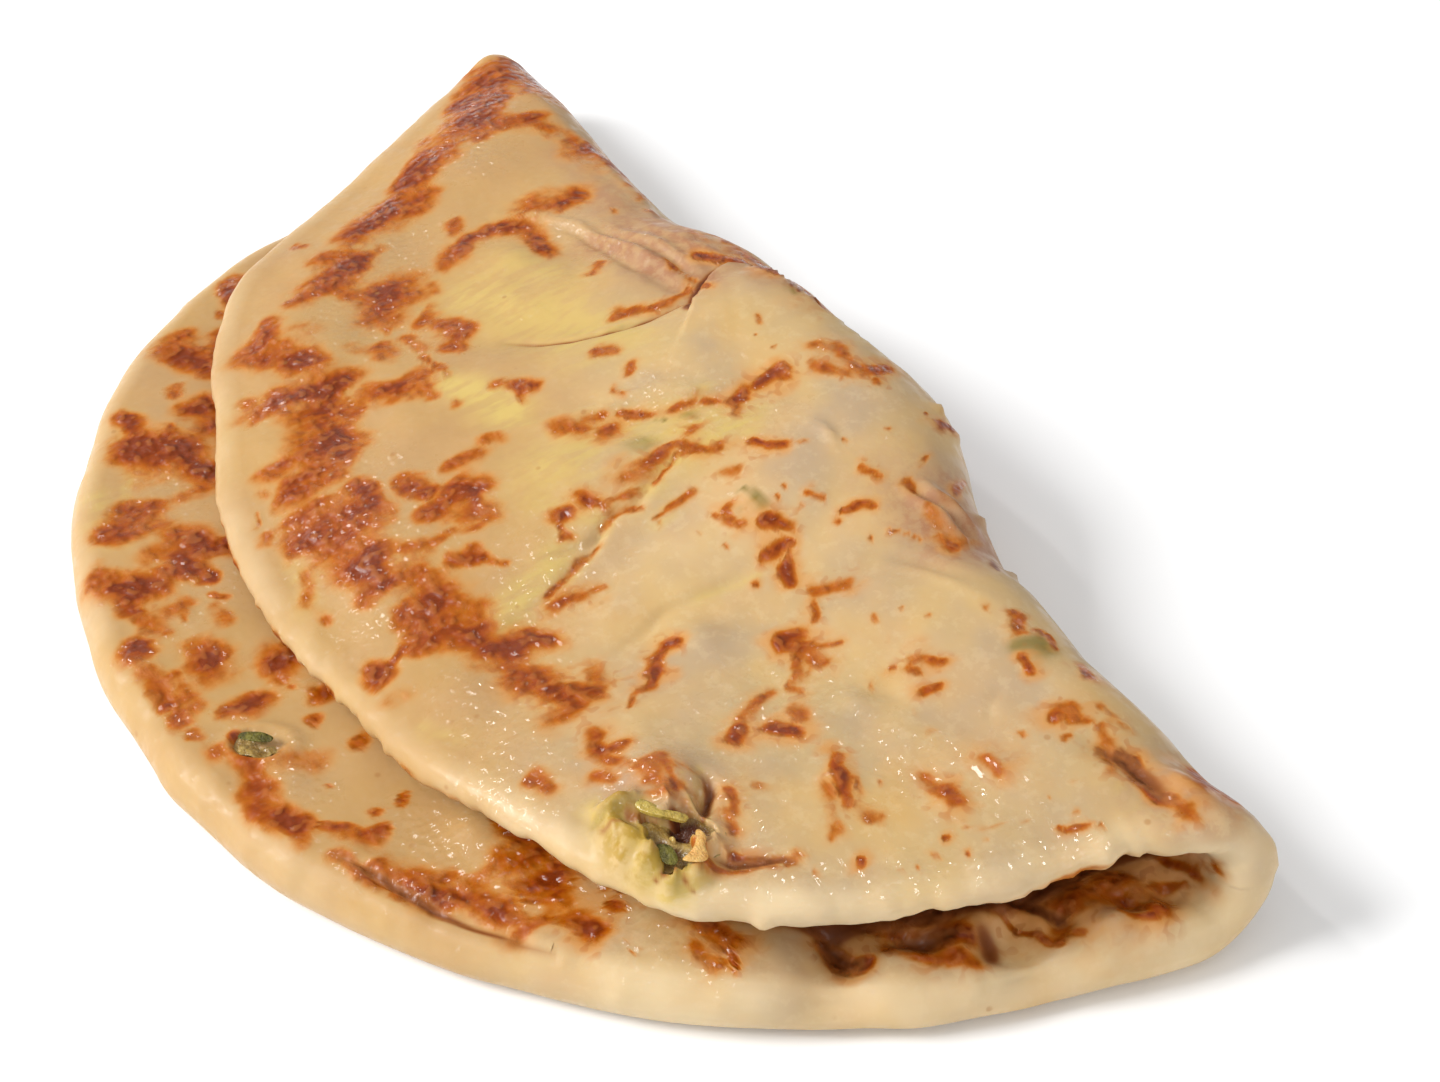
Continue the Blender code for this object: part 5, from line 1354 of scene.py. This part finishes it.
def points_of(piece: bpy.types.Object) -> np.ndarray:
    """A mesh's vertices, one in each row.

    Args:
        piece: The mesh's object.

    Returns:
        The vertices.
    """
    co = np.empty(len(piece.data.vertices) * 3, np.float32)
    piece.data.vertices.foreach_get("co", co)
    return co.reshape(-1, 3).astype(float)


def place_points(piece: bpy.types.Object, points: np.ndarray) -> None:
    """Move a mesh's vertices."""
    piece.data.vertices.foreach_set("co", points.astype(np.float32).ravel())
    piece.data.update()


def write_field(piece: bpy.types.Object, name: str, values: np.ndarray) -> None:
    """Store one value for each vertex, between 0 and 1.5."""
    attribute = piece.data.attributes.new(name, "FLOAT", "POINT")
    attribute.data.foreach_set("value", np.clip(values, 0, 1.5).astype(np.float32))


def refine(piece: bpy.types.Object, wanted: np.ndarray, cuts: int) -> None:
    """Split some of a mesh's faces.

    Args:
        piece: The mesh's object.
        wanted: True for each face that is split.
        cuts: Cuts along each edge.
    """
    bpy.ops.object.mode_set(mode="EDIT")
    bpy.ops.mesh.select_mode(type="FACE")
    bpy.ops.mesh.select_all(action="DESELECT")
    bpy.ops.object.mode_set(mode="OBJECT")
    piece.data.polygons.foreach_set("select", wanted)
    bpy.ops.object.mode_set(mode="EDIT")
    bpy.ops.mesh.subdivide(number_cuts=cuts)
    bpy.ops.object.mode_set(mode="OBJECT")


def face_centres(piece: bpy.types.Object) -> np.ndarray:
    """Centres of a mesh's faces, one in each row.

    Args:
        piece: The mesh's object.

    Returns:
        The centres.
    """
    centres = np.empty(len(piece.data.polygons) * 3, np.float32)
    piece.data.polygons.foreach_get("center", centres)
    return centres.reshape(-1, 3).astype(float)


def finish_piece(
    piece: bpy.types.Object, name: str, node: str, material: bpy.types.Material
) -> None:
    """Name a piece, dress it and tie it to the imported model.

    Args:
        piece: The piece.
        name: Its name.
        node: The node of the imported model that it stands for.
        material: Its finish.
    """
    piece.name = name
    piece.data.name = name
    piece.data.materials.clear()
    piece.data.materials.append(material)
    deselect()
    piece.select_set(True)
    bpy.context.view_layer.objects.active = piece
    bpy.ops.object.shade_smooth()
    deselect()
    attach(piece, BODY)
    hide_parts(node)
    LOG.info("%s: %d faces", name, len(piece.data.polygons))


@dataclass
class Bread:
    """The folded bread, with its relief and the fields that colour it."""

    form: FoldForm
    squares: int = 96
    rim_bands: int = 3
    fine_back: float = -0.13
    fine_reach: float = 0.68
    brown_spread: tuple[float, float] = (0.98, 1.95)
    pink_spread: float = 2.3
    halo_spread: float = 2.7
    mark_warp: tuple[Ripple, Ripple] = (Ripple(6 * MM, 1.3 * MM), Ripple(2.4 * MM, 0.7 * MM))
    rim_waves: tuple[Ripple, Ripple] = (Ripple(13 * MM, 0.8 * MM), Ripple(6 * MM, 0.35 * MM))
    teeth: tuple[Ripple, Ripple] = (Ripple(3.1 * MM, 0.45 * MM), Ripple(1.5 * MM, 0.35 * MM))
    notch_depth: float = 1.6 * MM
    notch_bearing: tuple[float, float] = (13.5, 2.5)
    droop_depth: float = 1.3 * MM
    skin: tuple[Ripple, ...] = (
        Ripple(11 * MM, 0.45 * MM), Ripple(4.6 * MM, 0.17 * MM), Ripple(1.9 * MM, 0.025 * MM)
    )
    rim_grain: Ripple = Ripple(2.6 * MM, 0.22 * MM)
    line_wobble: Ripple = Ripple(3 * MM, 0.5 * MM)
    spot_height: float = 0.20 * MM
    spot_grain: Ripple = Ripple(2.0 * MM, 0.7)
    lip_height: float = 1.9 * MM
    lip_reach: float = 9 * MM
    torn_skin: float = 1.5 * MM
    torn_ridges: Ripple = Ripple(2.6 * MM, 1.3 * MM)
    hole_wobble: Ripple = Ripple(1.6 * MM, 0.35 * MM)
    hole_depth: float = 3.4 * MM
    hidden_seed: int = 29
    hidden_count: int = 260
    hidden_box: tuple[float, float] = (118, 104)
    hidden_widths: tuple[float, ...] = (1.0, 1.8, 2.6, 3.6)
    hidden_shares: tuple[float, ...] = (0.35, 0.3, 0.22, 0.13)
    lower_rise: float = 0.5 * MM
    lower_hollow: float = 1.7 * MM
    lumps: Lumps = field(default_factory=Lumps)
    folds: Folds = field(default_factory=Folds)
    shift: tuple[float, float] = (0.0, 0.0)

    def sheet(self) -> bpy.types.Object:
        """Make a hollow cushion of two grids, bridged at their edges, finer where it is seen.

        Returns:
            The cushion, whose points run from -1 to 1.
        """
        deselect()
        grids = []
        for z in (1, -1):
            bpy.ops.mesh.primitive_grid_add(
                x_subdivisions=self.squares, y_subdivisions=self.squares, size=2, location=(0, 0, z)
            )
            bpy.ops.object.transform_apply(location=True)
            grids.append(bpy.context.object)
        for grid in grids:
            grid.select_set(True)
        bpy.ops.object.join()
        piece = bpy.context.object
        bpy.ops.object.mode_set(mode="EDIT")
        bpy.ops.mesh.select_mode(type="EDGE")
        bpy.ops.mesh.select_all(action="DESELECT")
        bpy.ops.mesh.select_non_manifold()
        bpy.ops.mesh.bridge_edge_loops(number_cuts=self.rim_bands - 1)
        bpy.ops.object.mode_set(mode="OBJECT")
        centres = face_centres(piece)
        reach = np.abs(centres[:, :2]).max(axis=1)
        top = (centres[:, 2] > 0.99) & (centres[:, 1] > self.fine_back)
        below = (centres[:, 2] < -0.99) & (centres[:, 1] < 0) & (reach > self.fine_reach)
        refine(piece, top | below | (np.abs(centres[:, 2]) < 0.99), 2)
        centres = face_centres(piece)
        places = flatten(self.form, centres, np.zeros(len(centres)))
        near = np.zeros(len(centres), bool)
        for burst in (FLAP_BURST, LOWER_BURST):
            near |= (burst.spread(places) < 1.5) & (places.height * burst.face.value > -0.3)
        for face, _, height, points in LINES:
            if abs(height) >= DEEP_LINE:
                on_line = line_field(places.x, places.s, points, 1.6 * MM) > 0.35
                near |= on_line & (places.height * face > 0.9)
        refine(piece, near, 1)
        bpy.ops.object.mode_set(mode="EDIT")
        bpy.ops.mesh.select_all(action="SELECT")
        bpy.ops.mesh.normals_make_consistent(inside=False)
        bpy.ops.object.mode_set(mode="OBJECT")
        return piece

    def edge_noise(self, cube: np.ndarray) -> np.ndarray:
        """How far the rim stands out: torn along the flap, gently uneven below.

        Args:
            cube: The cushion's points, from -1 to 1.

        Returns:
            The distance for each point.
        """
        rough = Grain(Seed.RIM)
        turn = np.arctan2(cube[:, 1], cube[:, 0]) * self.form.rim_radius
        along = np.stack([turn, np.zeros_like(turn), np.zeros_like(turn)], -1)
        wide = self.rim_waves[0].at(rough, along) + self.rim_waves[1].at(rough, along + [0, 5, 0])
        teeth = self.teeth[0].at(rough, along + [0, 9, 0]) + self.teeth[1].at(rough, along + [0, 0, 9])
        lower_lip = smooth(-cube[:, 2] * 1.5 + 0.4)
        flap = smooth(cube[:, 1] / 0.1)
        torn = 1 + 0.9 * soft_step(cube[:, 0], -0.2, 0.5)
        bearing = np.degrees(np.arctan2(cube[:, 1], cube[:, 0]))
        start, softness = self.notch_bearing
        notch = self.notch_depth * (1 - soft_step(bearing, start, softness)) * flap
        return wide + flap * teeth * torn * (0.15 + 0.85 * lower_lip) - notch

    def droop(self, places: FlatPlaces) -> np.ndarray:
        """How far the flap's thin edge comes down onto the lower layer, all but at the mouth."""
        near_edge = soft_step(places.r, 0.80, 0.17) * soft_step(places.s, 20 * MM, 25 * MM)
        return self.droop_depth * near_edge * (1 - soft_step(places.x, 5 * MM, 45 * MM))

    def marks(self, places: FlatPlaces, warp: tuple[np.ndarray, np.ndarray]) -> dict[str, np.ndarray]:
        """Fields that colour the bread.

        Args:
            places: Where the mesh's points are in the flat dough.
            warp: How far the marks are pushed about at each point.

        Returns:
            The fields by name.
        """
        x, s = places.x + warp[0], places.s + warp[1]
        out = places.outside

        def seen(name: str, wide: float) -> np.ndarray:
            """Strength of one kind of mark on both skins."""
            outside, inside = (mark_field(x, s, MARKS[face][name], wide) for face in Face)
            return outside * out + inside * (1 - out)

        # One of these fields is painted shade in holes, pits and grooves
        fields = {
            name: seen(name, wide)
            for name, wide in (("yellow", 1), ("green", 1), ("pink", self.pink_spread), ("painted_shade", 1))
        }
        hidden = self.hidden_marks()
        browner = smooth((0.867 * np.abs(places.s) - 0.499 * places.x - 26 * MM) / (36 * MM))
        fields["toasty"] = browner
        few, many = (seen("brown", wide) for wide in self.brown_spread)
        fields["brown"] = (1 - browner) * few + browner * many
        fields["halo"] = seen("brown", self.halo_spread)
        shown_outside = soft_step(places.s, 1 * MM, 6 * MM)
        shown_inside = soft_step(places.r, 0.62, 0.1) * soft_step(-places.s, 6 * MM, 10 * MM)
        inner = smooth((0.95 - places.r) / 0.06)
        unseen = out * (1 - shown_outside) * inner + (1 - out) * (1 - shown_inside)
        for name, wide in (("brown", self.brown_spread[0]), ("halo", self.halo_spread)):
            fields[name] = union([fields[name], mark_field(x, s, hidden, wide) * unseen])
        return fields

    def hidden_marks(self) -> tuple[tuple[float, ...], ...]:
        """Seeded marks for the skins that the photograph doesn't show.

        Returns:
            The marks in millimetres: both ends, half width and strength.
        """
        draw = np.random.default_rng(self.hidden_seed)
        reach_x, reach_s = self.hidden_box
        marks = []
        while len(marks) < self.hidden_count:
            x, s = draw.uniform(-reach_x, reach_x), draw.uniform(-reach_s, reach_s)
            if math.hypot(x, s) > reach_s:
                continue
            turn, length = draw.uniform(0, math.pi), draw.uniform(0.5, 7)
            dx, ds = length * math.cos(turn), length * math.sin(turn)
            width = draw.choice(self.hidden_widths, p=self.hidden_shares) * draw.uniform(0.8, 1.25)
            marks.append((x - dx, s - ds, x + dx, s + ds, width, draw.uniform(0.5, 1.1)))
        return tuple(marks)

    def outside_relief(self, places: FlatPlaces, points: np.ndarray, brown: np.ndarray) -> np.ndarray:
        """Height of the outside skin over the plain dough.

        Args:
            places: Places in the flat dough.
            points: Places on the plain dough.
            brown: Strength of the browned marks.

        Returns:
            The height at each place.
        """
        height = self.lumps.at(self.form, places) + self.folds.outside(places)
        height = height + self.detail(places, points, brown, Face.OUTSIDE)
        x, s = places.x, places.s
        side = self.lip_side(x, s)
        near = np.clip(1.6 * line_field(x, s, LIP, self.lip_reach), 0, 1)
        height = height + self.lip_height * (smooth(side / (0.8 * MM) + 0.5) - 0.35) * near
        burst = FLAP_BURST.spread(places)
        ridges = (1 - np.abs(Grain(Seed.TORN_SKIN).at(points, self.torn_ridges.size))) ** 3
        skin = self.torn_skin + self.torn_ridges.height * np.clip(ridges, 0, 1)
        height = height + skin * (1 - soft_step(burst, 0.6, 0.6))
        torn = self.hole_wobble.at(Grain(Seed.HOLES), points)
        height = height - self.hole_depth * smooth(mark_field(x + torn, s - torn, HOLES) * 2.2 - 0.9)
        return height * soft_step(s, -4 * MM, 12 * MM)

    def lip_side(self, x: np.ndarray, s: np.ndarray) -> np.ndarray:
        """Signed distance from the torn skin's edge, positive on the skin.

        Args:
            x: Places along the fold.
            s: Distances from the fold's back.

        Returns:
            The distance at each place.
        """
        best = np.full_like(x, 1.0)
        side = np.zeros_like(x)
        for start, end in zip(LIP[:-1], LIP[1:]):
            first, last = np.array(start) * MM, np.array(end) * MM
            distance, _ = segment_distance(x, s, first, last)
            line = last - first
            sign = np.sign(line[0] * (s - first[1]) - line[1] * (x - first[0]))
            side = np.where(distance < best, sign * distance, side)
            best = np.minimum(best, distance)
        return side

    def inside_relief(self, places: FlatPlaces, points: np.ndarray, brown: np.ndarray) -> np.ndarray:
        """Height of the inside skin over the plain dough.

        Args:
            places: Places in the flat dough.
            points: Places on the plain dough.
            brown: Strength of the browned marks.

        Returns:
            The height at each place.
        """
        height = self.folds.inside(places) + self.detail(places, points, brown, Face.INSIDE)
        burst = LOWER_BURST.spread(places)
        patchy = smooth(0.5 + 2 * Grain(Seed.TORN_SKIN).at(points, 3 * MM))
        hollow = (1 - soft_step(burst, 0.55, 0.45)) * patchy
        return height + self.lower_rise * bump(burst, 1.0, 0.35) - self.lower_hollow * hollow

    def detail(self, places: FlatPlaces, points: np.ndarray, brown: np.ndarray, face: Face) -> np.ndarray:
        """Height of the fine relief: uneven skin, raised browned spots, cracks, ridges and bumps.

        Args:
            places: Places in the flat dough.
            points: Places on the plain dough.
            brown: Strength of the browned marks.
            face: The skin.

        Returns:
            The height at each place.
        """
        grain = Grain(Seed.RELIEF)
        height = sum(ripple.at(grain, points) for ripple in self.skin)
        height = height + self.spot_height * smooth(brown) * (1 + self.spot_grain.at(grain, points + 1))
        x, s = places.x, places.s
        near_rim = soft_step(places.r, 0.93, 0.04) * soft_step(x, -30 * MM, 40 * MM)
        height = height + near_rim * self.rim_grain.at(grain, points + 5)
        wobble = self.line_wobble.at(grain, points + 2)
        for side, width, size, line in LINES:
            if side == face.value:
                height = height + size * MM * line_field(x + wobble, s - wobble, line, width * MM)
        for side, place_x, place_s, width, size in BUMPS:
            if side == face.value:
                away = np.hypot(x - place_x * MM, s - place_s * MM)
                height = height + size * MM * bump(away, 0, width * MM)
        return height

    def build(self, material: bpy.types.Material) -> bpy.types.Object:
        """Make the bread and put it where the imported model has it.

        Args:
            material: The dough's finish.

        Returns:
            The bread.
        """
        piece = self.sheet()
        cube = points_of(piece)
        places = flatten(self.form, cube, self.edge_noise(cube))
        x, s = places.x, places.s
        middle, normal = self.form.middle_surface(x, s), self.form.outward(x, s)
        half = self.form.thickness(x, s, places.r)[:, None] / 2
        plain = middle + normal * half * places.height[:, None]

        grain = Grain(Seed.MARKS)
        broad, fine = self.mark_warp
        warp = tuple(broad.at(grain, plain + i) + fine.at(grain, plain - i) for i in (1, 2))
        fields = self.marks(places, warp)
        outside = self.outside_relief(places, plain, fields["brown"])
        inside = self.inside_relief(places, plain, fields["brown"])
        share = soft_step(places.height, -0.5, 1.0)
        relief = outside * share + inside * (1 - share)
        swell = relief * np.sqrt(np.clip(1 - places.height**2, 0, 1))
        x = x + swell * np.cos(places.bearing)
        s = s + swell * np.where(places.flap, 1, -1) * np.sin(places.bearing)
        middle, normal = self.form.middle_surface(x, s), self.form.outward(x, s)
        offset = (half[:, 0] + relief) * places.height - self.droop(places)
        points = middle + normal * offset[:, None]
        points[:, 2] = np.maximum(points[:, 2], 0)
        points[:, :2] += self.shift
        place_points(piece, points)
        self.dress(piece, places, points, fields)
        finish_piece(piece, "bread_dough", "bread", material)
        return piece

    def dress(
        self, piece: bpy.types.Object, places: FlatPlaces, points: np.ndarray, fields: dict[str, np.ndarray]
    ) -> None:
        """Store the fields that the dough's finish reads.

        Args:
            piece: The bread.
            places: Where its points are in the flat dough.
            points: Where its points are.
            fields: The fields made from the lists of marks.
        """
        x, s = places.x, places.s
        grain = Grain(Seed.COLOURS)
        out = places.outside
        # Painted shade: the listed shade marks, and a dark line at the foot of the torn skin's step
        painted_shade = np.maximum(fields["painted_shade"], out * bump(np.abs(self.lip_side(x, s) + 0.7 * MM), 0, 1.0 * MM))
        # Painted shade on the lower layer under the flap's edge, near the mouth
        shade_end = 0.882 + 0.02 * soft_step(np.degrees(places.bearing), 9, 8)
        painted_shade_under_flap = smooth((shade_end - places.r) / 0.025 + 0.5)
        painted_shade_under_flap = painted_shade_under_flap * soft_step(x, 70 * MM, 15 * MM) * smooth((10 * MM - s) / (8 * MM))
        painted_shade = np.maximum(painted_shade, 0.8 * (1 - out) * painted_shade_under_flap)
        # Painted shade along the lines that are cut in deeply
        for side, width, size, line in LINES:
            if size <= -DEEP_LINE:
                on_side = out if side > 0 else 1 - out
                painted_shade = np.maximum(painted_shade, 0.75 * on_side * line_field(x, s, line, width * MM * 0.7))
        rim = soft_step(places.r, 0.955, 0.03)
        floury = rim * (0.55 + 0.35 * grain.at(points, 6 * MM))
        gloss = mark_field(x, s, GLOSS_OUTSIDE) * out + mark_field(x, s, GLOSS_INSIDE) * (1 - out)
        for name in ("brown", "halo", "yellow", "green", "pink", "toasty"):
            write_field(piece, name, fields[name])
        stained = 1 - soft_step(FLAP_BURST.spread(places), 0.75, 0.55)
        write_field(piece, "ochre", out * stained * soft_step(s, 69 * MM, 5 * MM))
        # Mask of the painted warm light inside the mouth, where it lies in shade
        near_mouth = soft_step(x, 84 * MM, 14 * MM) * soft_step(s, -42 * MM, 14 * MM)
        write_field(piece, "painted_mouth_glow", (1 - out) * near_mouth * smooth((0.965 - places.r) / 0.05))
        # Painted shade, stored for the finish
        write_field(piece, "painted_shade", painted_shade)
        floury = floury * (1 - smooth(fields["brown"] * 2)) * (1 - 0.6 * fields["toasty"])
        write_field(piece, "floury", np.clip(floury, 0, 1))
        patches = smooth(0.5 + 1.2 * grain.at(points + 3, 7 * MM))
        gloss = np.maximum(gloss, (0.15 + 0.42 * smooth(fields["brown"])) * patches)
        write_field(piece, "gloss", gloss * (1 - 0.9 * np.clip(painted_shade, 0, 1)))


@dataclass
class FillingLump:
    """Filling that shows in a burst."""

    form: FoldForm
    burst: Burst
    name: str
    node: str
    shift: tuple[float, float]
    roughness: float = 0.5 * MM

    def build(self, material: bpy.types.Material) -> bpy.types.Object:
        """Make the lump.

        Args:
            material: Its finish.

        Returns:
            The lump.
        """
        deselect()
        bpy.ops.mesh.primitive_ico_sphere_add(subdivisions=6, radius=1)
        piece = bpy.context.object
        ways = points_of(piece)
        ways /= np.linalg.norm(ways, axis=1, keepdims=True)
        grain = Grain(Seed.FILLING)
        uneven = self.roughness * (grain.at(ways, 0.45) + 0.6 * grain.at(ways + 5, 0.2)) - 0.85 * MM
        first, second = ways[:, 0] * self.burst.size[0], ways[:, 1] * self.burst.size[1]
        turn = self.burst.turn
        x = self.burst.place[0] + first * math.cos(turn) + second * math.sin(turn)
        s = self.burst.place[1] + first * math.sin(turn) - second * math.cos(turn)
        hollow = sum(
            depth * MM * bump(np.hypot(x - place_x * MM, s - place_s * MM), 0, width * MM)
            for place_x, place_s, width, depth in FILLING_HOLLOWS
        )
        uneven = uneven - hollow * (ways[:, 2] > 0)
        points = self.burst.surface(self.form, ways.T, uneven)
        # Painted shade in the hollows, and darker patches at random
        write_field(piece, "painted_shade", hollow / (1.1 * MM) + 0.35 * (grain.at(ways + 2, 0.35) > 0.35))
        points[:, :2] += self.shift
        place_points(piece, points)
        finish_piece(piece, self.name, self.node, material)
        return piece


@dataclass
class Strip:
    """Thin piece that lies on the filling, from start to end in shares of its half sizes."""

    form: FoldForm
    burst: Burst
    name: str
    slot: str
    start: tuple[float, float]
    end: tuple[float, float]
    width: float
    height: float
    shift: tuple[float, float]
    gap: float = 0.6 * MM
    end_share: float = 0.3
    wave: float = 0.02
    bow: float = 0.0

    def build(self, material: bpy.types.Material) -> bpy.types.Object:
        """Make the strip.

        Args:
            material: Its finish.

        Returns:
            The strip.
        """
        deselect()
        bpy.ops.mesh.primitive_cube_add(size=2)
        piece = bpy.context.object
        bpy.ops.object.mode_set(mode="EDIT")
        bpy.ops.mesh.subdivide(number_cuts=23)
        bpy.ops.object.mode_set(mode="OBJECT")
        a, b, c = points_of(piece).T
        line = np.subtract(self.end, self.start)
        side = np.array([-line[1], line[0]]) / np.linalg.norm(line)
        narrow = self.end_share + (1 - self.end_share) * np.sqrt(np.clip(1 - a**2, 0, 1))
        plan = np.add(self.start, self.end)[:, None] / 2 + np.outer(line, a) / 2
        sway = self.wave * np.sin(2.6 * a) + self.bow * (1 - a**2)
        plan = plan + side[:, None] * (b * narrow * self.width + sway)
        up = np.sqrt(np.clip(1 - (plan**2).sum(0), 0.02, 1))
        ways = np.stack([*plan, up])
        ways /= np.linalg.norm(ways, axis=0)
        rounded = c * np.sqrt(np.clip(1 - 0.75 * b**2, 0, 1)) * np.sqrt(np.clip(1 - 0.6 * a**6, 0, 1))
        points = self.burst.surface(self.form, ways, self.gap + self.height * (rounded + 1) / 2)
        points[:, :2] += self.shift
        place_points(piece, points)
        finish_piece(piece, self.name, self.name, material)
        return piece


@dataclass(frozen=True)
class Studio:
    """Pale floor, soft light from the left and the camera."""

    target: tuple[float, float, float] = (6.22 * MM, -12.71 * MM, 0.0)
    distance: float = 381.1 * MM
    elevation: float = math.radians(41.7)
    azimuth: float = math.radians(60.1)
    lens: float = 60.0
    floor_size: float = 6.0
    floor_colour: tuple[float, float, float] = (0.90, 0.90, 0.90)
    floor_z: float = -0.05 * MM
    key_bearing: float = math.radians(-6)
    key_elevation: float = math.radians(36)
    key_distance: float = 2.6
    key_size: float = 1.15
    key_power: float = 82.0
    top_power: float = 10.0
    front_power: float = 24.0
    spark_power: float = 7.0
    ambient: float = 0.45

    def build(self, shift: tuple[float, float]) -> None:
        """Add the floor, the lights and the camera.

        Args:
            shift: Distance from the fold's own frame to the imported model's.
        """
        target = Vector((self.target[0] + shift[0], self.target[1] + shift[1], self.target[2]))
        self.add_floor()
        self.add_world()
        flat = math.cos(self.elevation)
        sine, cosine = math.sin(self.azimuth), math.cos(self.azimuth)
        back = Vector((sine * flat, -cosine * flat, math.sin(self.elevation)))
        camera = bpy.data.cameras.new("camera")
        camera.lens = self.lens
        camera.sensor_width = 36
        camera.sensor_fit = "HORIZONTAL"
        holder = bpy.data.objects.new("camera", camera)
        holder.location = target + back * self.distance
        holder.rotation_euler = (-back).to_track_quat("-Z", "Y").to_euler()
        bpy.context.scene.collection.objects.link(holder)
        bpy.context.scene.camera = holder
        right, away = Vector((cosine, sine, 0)), Vector((-sine, cosine, 0))
        level = -right * math.cos(self.key_bearing) + away * math.sin(self.key_bearing)
        way = level * math.cos(self.key_elevation) + Vector((0, 0, math.sin(self.key_elevation)))
        self.add_light("key", target, way, self.key_distance, self.key_size, self.key_power)
        top = (-right * 0.15 - away * 0.35 + Vector((0, 0, 1))).normalized()
        self.add_light("top", target, top, 2.6, 2.2, self.top_power)
        front = (right * 0.6 - away * 0.8 + Vector((0, 0, 0.45))).normalized()
        self.add_light("front", target, front, 2.6, 1.8, self.front_power)
        spark = (-right * 0.7 + away * 0.35 + Vector((0, 0, 0.8))).normalized()
        self.add_light("spark", target, spark, 2.6, 0.15, self.spark_power)

    def add_light(
        self, name: str, target: Vector, way: Vector, distance: float, size: float, power: float
    ) -> None:
        """Add a square light that faces the bread.

        Args:
            name: Its name.
            target: What it faces.
            way: Unit direction from the target to it.
            distance: Its distance from the target.
            size: Its side.
            power: Its power in watts.
        """
        light = bpy.data.lights.new(name, "AREA")
        light.size = size
        light.energy = power
        holder = bpy.data.objects.new(name, light)
        holder.location = target + way * distance
        holder.rotation_euler = (-way).to_track_quat("-Z", "Y").to_euler()
        bpy.context.scene.collection.objects.link(holder)

    def add_world(self) -> None:
        """Add even white light from all round."""
        world = bpy.data.worlds.new("studio")
        world.use_nodes = True
        background = world.node_tree.nodes["Background"]
        background.inputs["Color"].default_value = (1, 1, 1, 1)
        background.inputs["Strength"].default_value = self.ambient
        bpy.context.scene.world = world

    def add_floor(self) -> None:
        """Add the floor."""
        deselect()
        bpy.ops.mesh.primitive_plane_add(size=self.floor_size, location=(0, 0, self.floor_z))
        floor = bpy.context.object
        bpy.ops.object.transform_apply(location=True)
        floor.name = "floor"
        bench = Bench("floor")
        bench.set(Base_Color=self.floor_colour, Roughness=0.6, Specular_IOR_Level=0.2)
        floor.data.materials.append(bench.material)


def main() -> None:
    """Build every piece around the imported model."""
    logging.basicConfig(level=logging.INFO, format="%(message)s")
    bpy.context.scene.view_settings.view_transform = "Standard"
    form = FoldForm()
    shift = CENTRE_SHIFT
    dough = DoughFinish().material()
    filling = MoistFinish("filling", (0.44, 0.30, 0.085), (0.20, 0.11, 0.022), 2.2 * MM).material()
    onion = MoistFinish("onion", (0.46, 0.35, 0.075), (0.33, 0.215, 0.035), 2.5 * MM).material()
    pale_onion = MoistFinish("pale onion", (0.66, 0.40, 0.125), (0.56, 0.255, 0.055), 2.0 * MM).material()
    herb = MoistFinish(
        "herb", (0.15, 0.13, 0.012), (0.05, 0.042, 0.004), 1.5 * MM, 0.45, 0.1, 0.15 * MM
    ).material()

    Bread(form, shift=shift).build(dough)
    FillingLump(form, FLAP_BURST, "flap_filling", "filling_in_flap", shift).build(filling)
    FillingLump(form, LOWER_BURST, "lower_filling", "filling_in_lower_layer", shift, 0.25 * MM).build(filling)
    flap, lower = FLAP_BURST, LOWER_BURST
    for name, burst, slot, start, end, width, height, shape, finish in (
        ("onion_strip", flap, "onion", (-0.46, 0.32), (0.26, 0.26), 0.13, 0.9 * MM, {}, onion),
        (
            "onion_curl", flap, "onion", (0.46, 0.14), (0.44, -0.54), 0.10, 0.8 * MM,
            {"bow": 0.16, "end_share": 0.12}, pale_onion,
        ),
        ("herb_leaf_on_flap", flap, "herb", (0.12, -0.36), (0.28, -0.72), 0.15, 0.5 * MM, {}, herb),
        ("herb_leaf_on_lower_layer", lower, "herb", (-0.62, -0.10), (0.36, 0.12), 0.20, 0.4 * MM, {}, herb),
    ):
        Strip(form, burst, name, slot, start, end, width, height, shift, **shape).build(finish)
    Studio().build(shift)


if __name__ == "__main__":
    main()
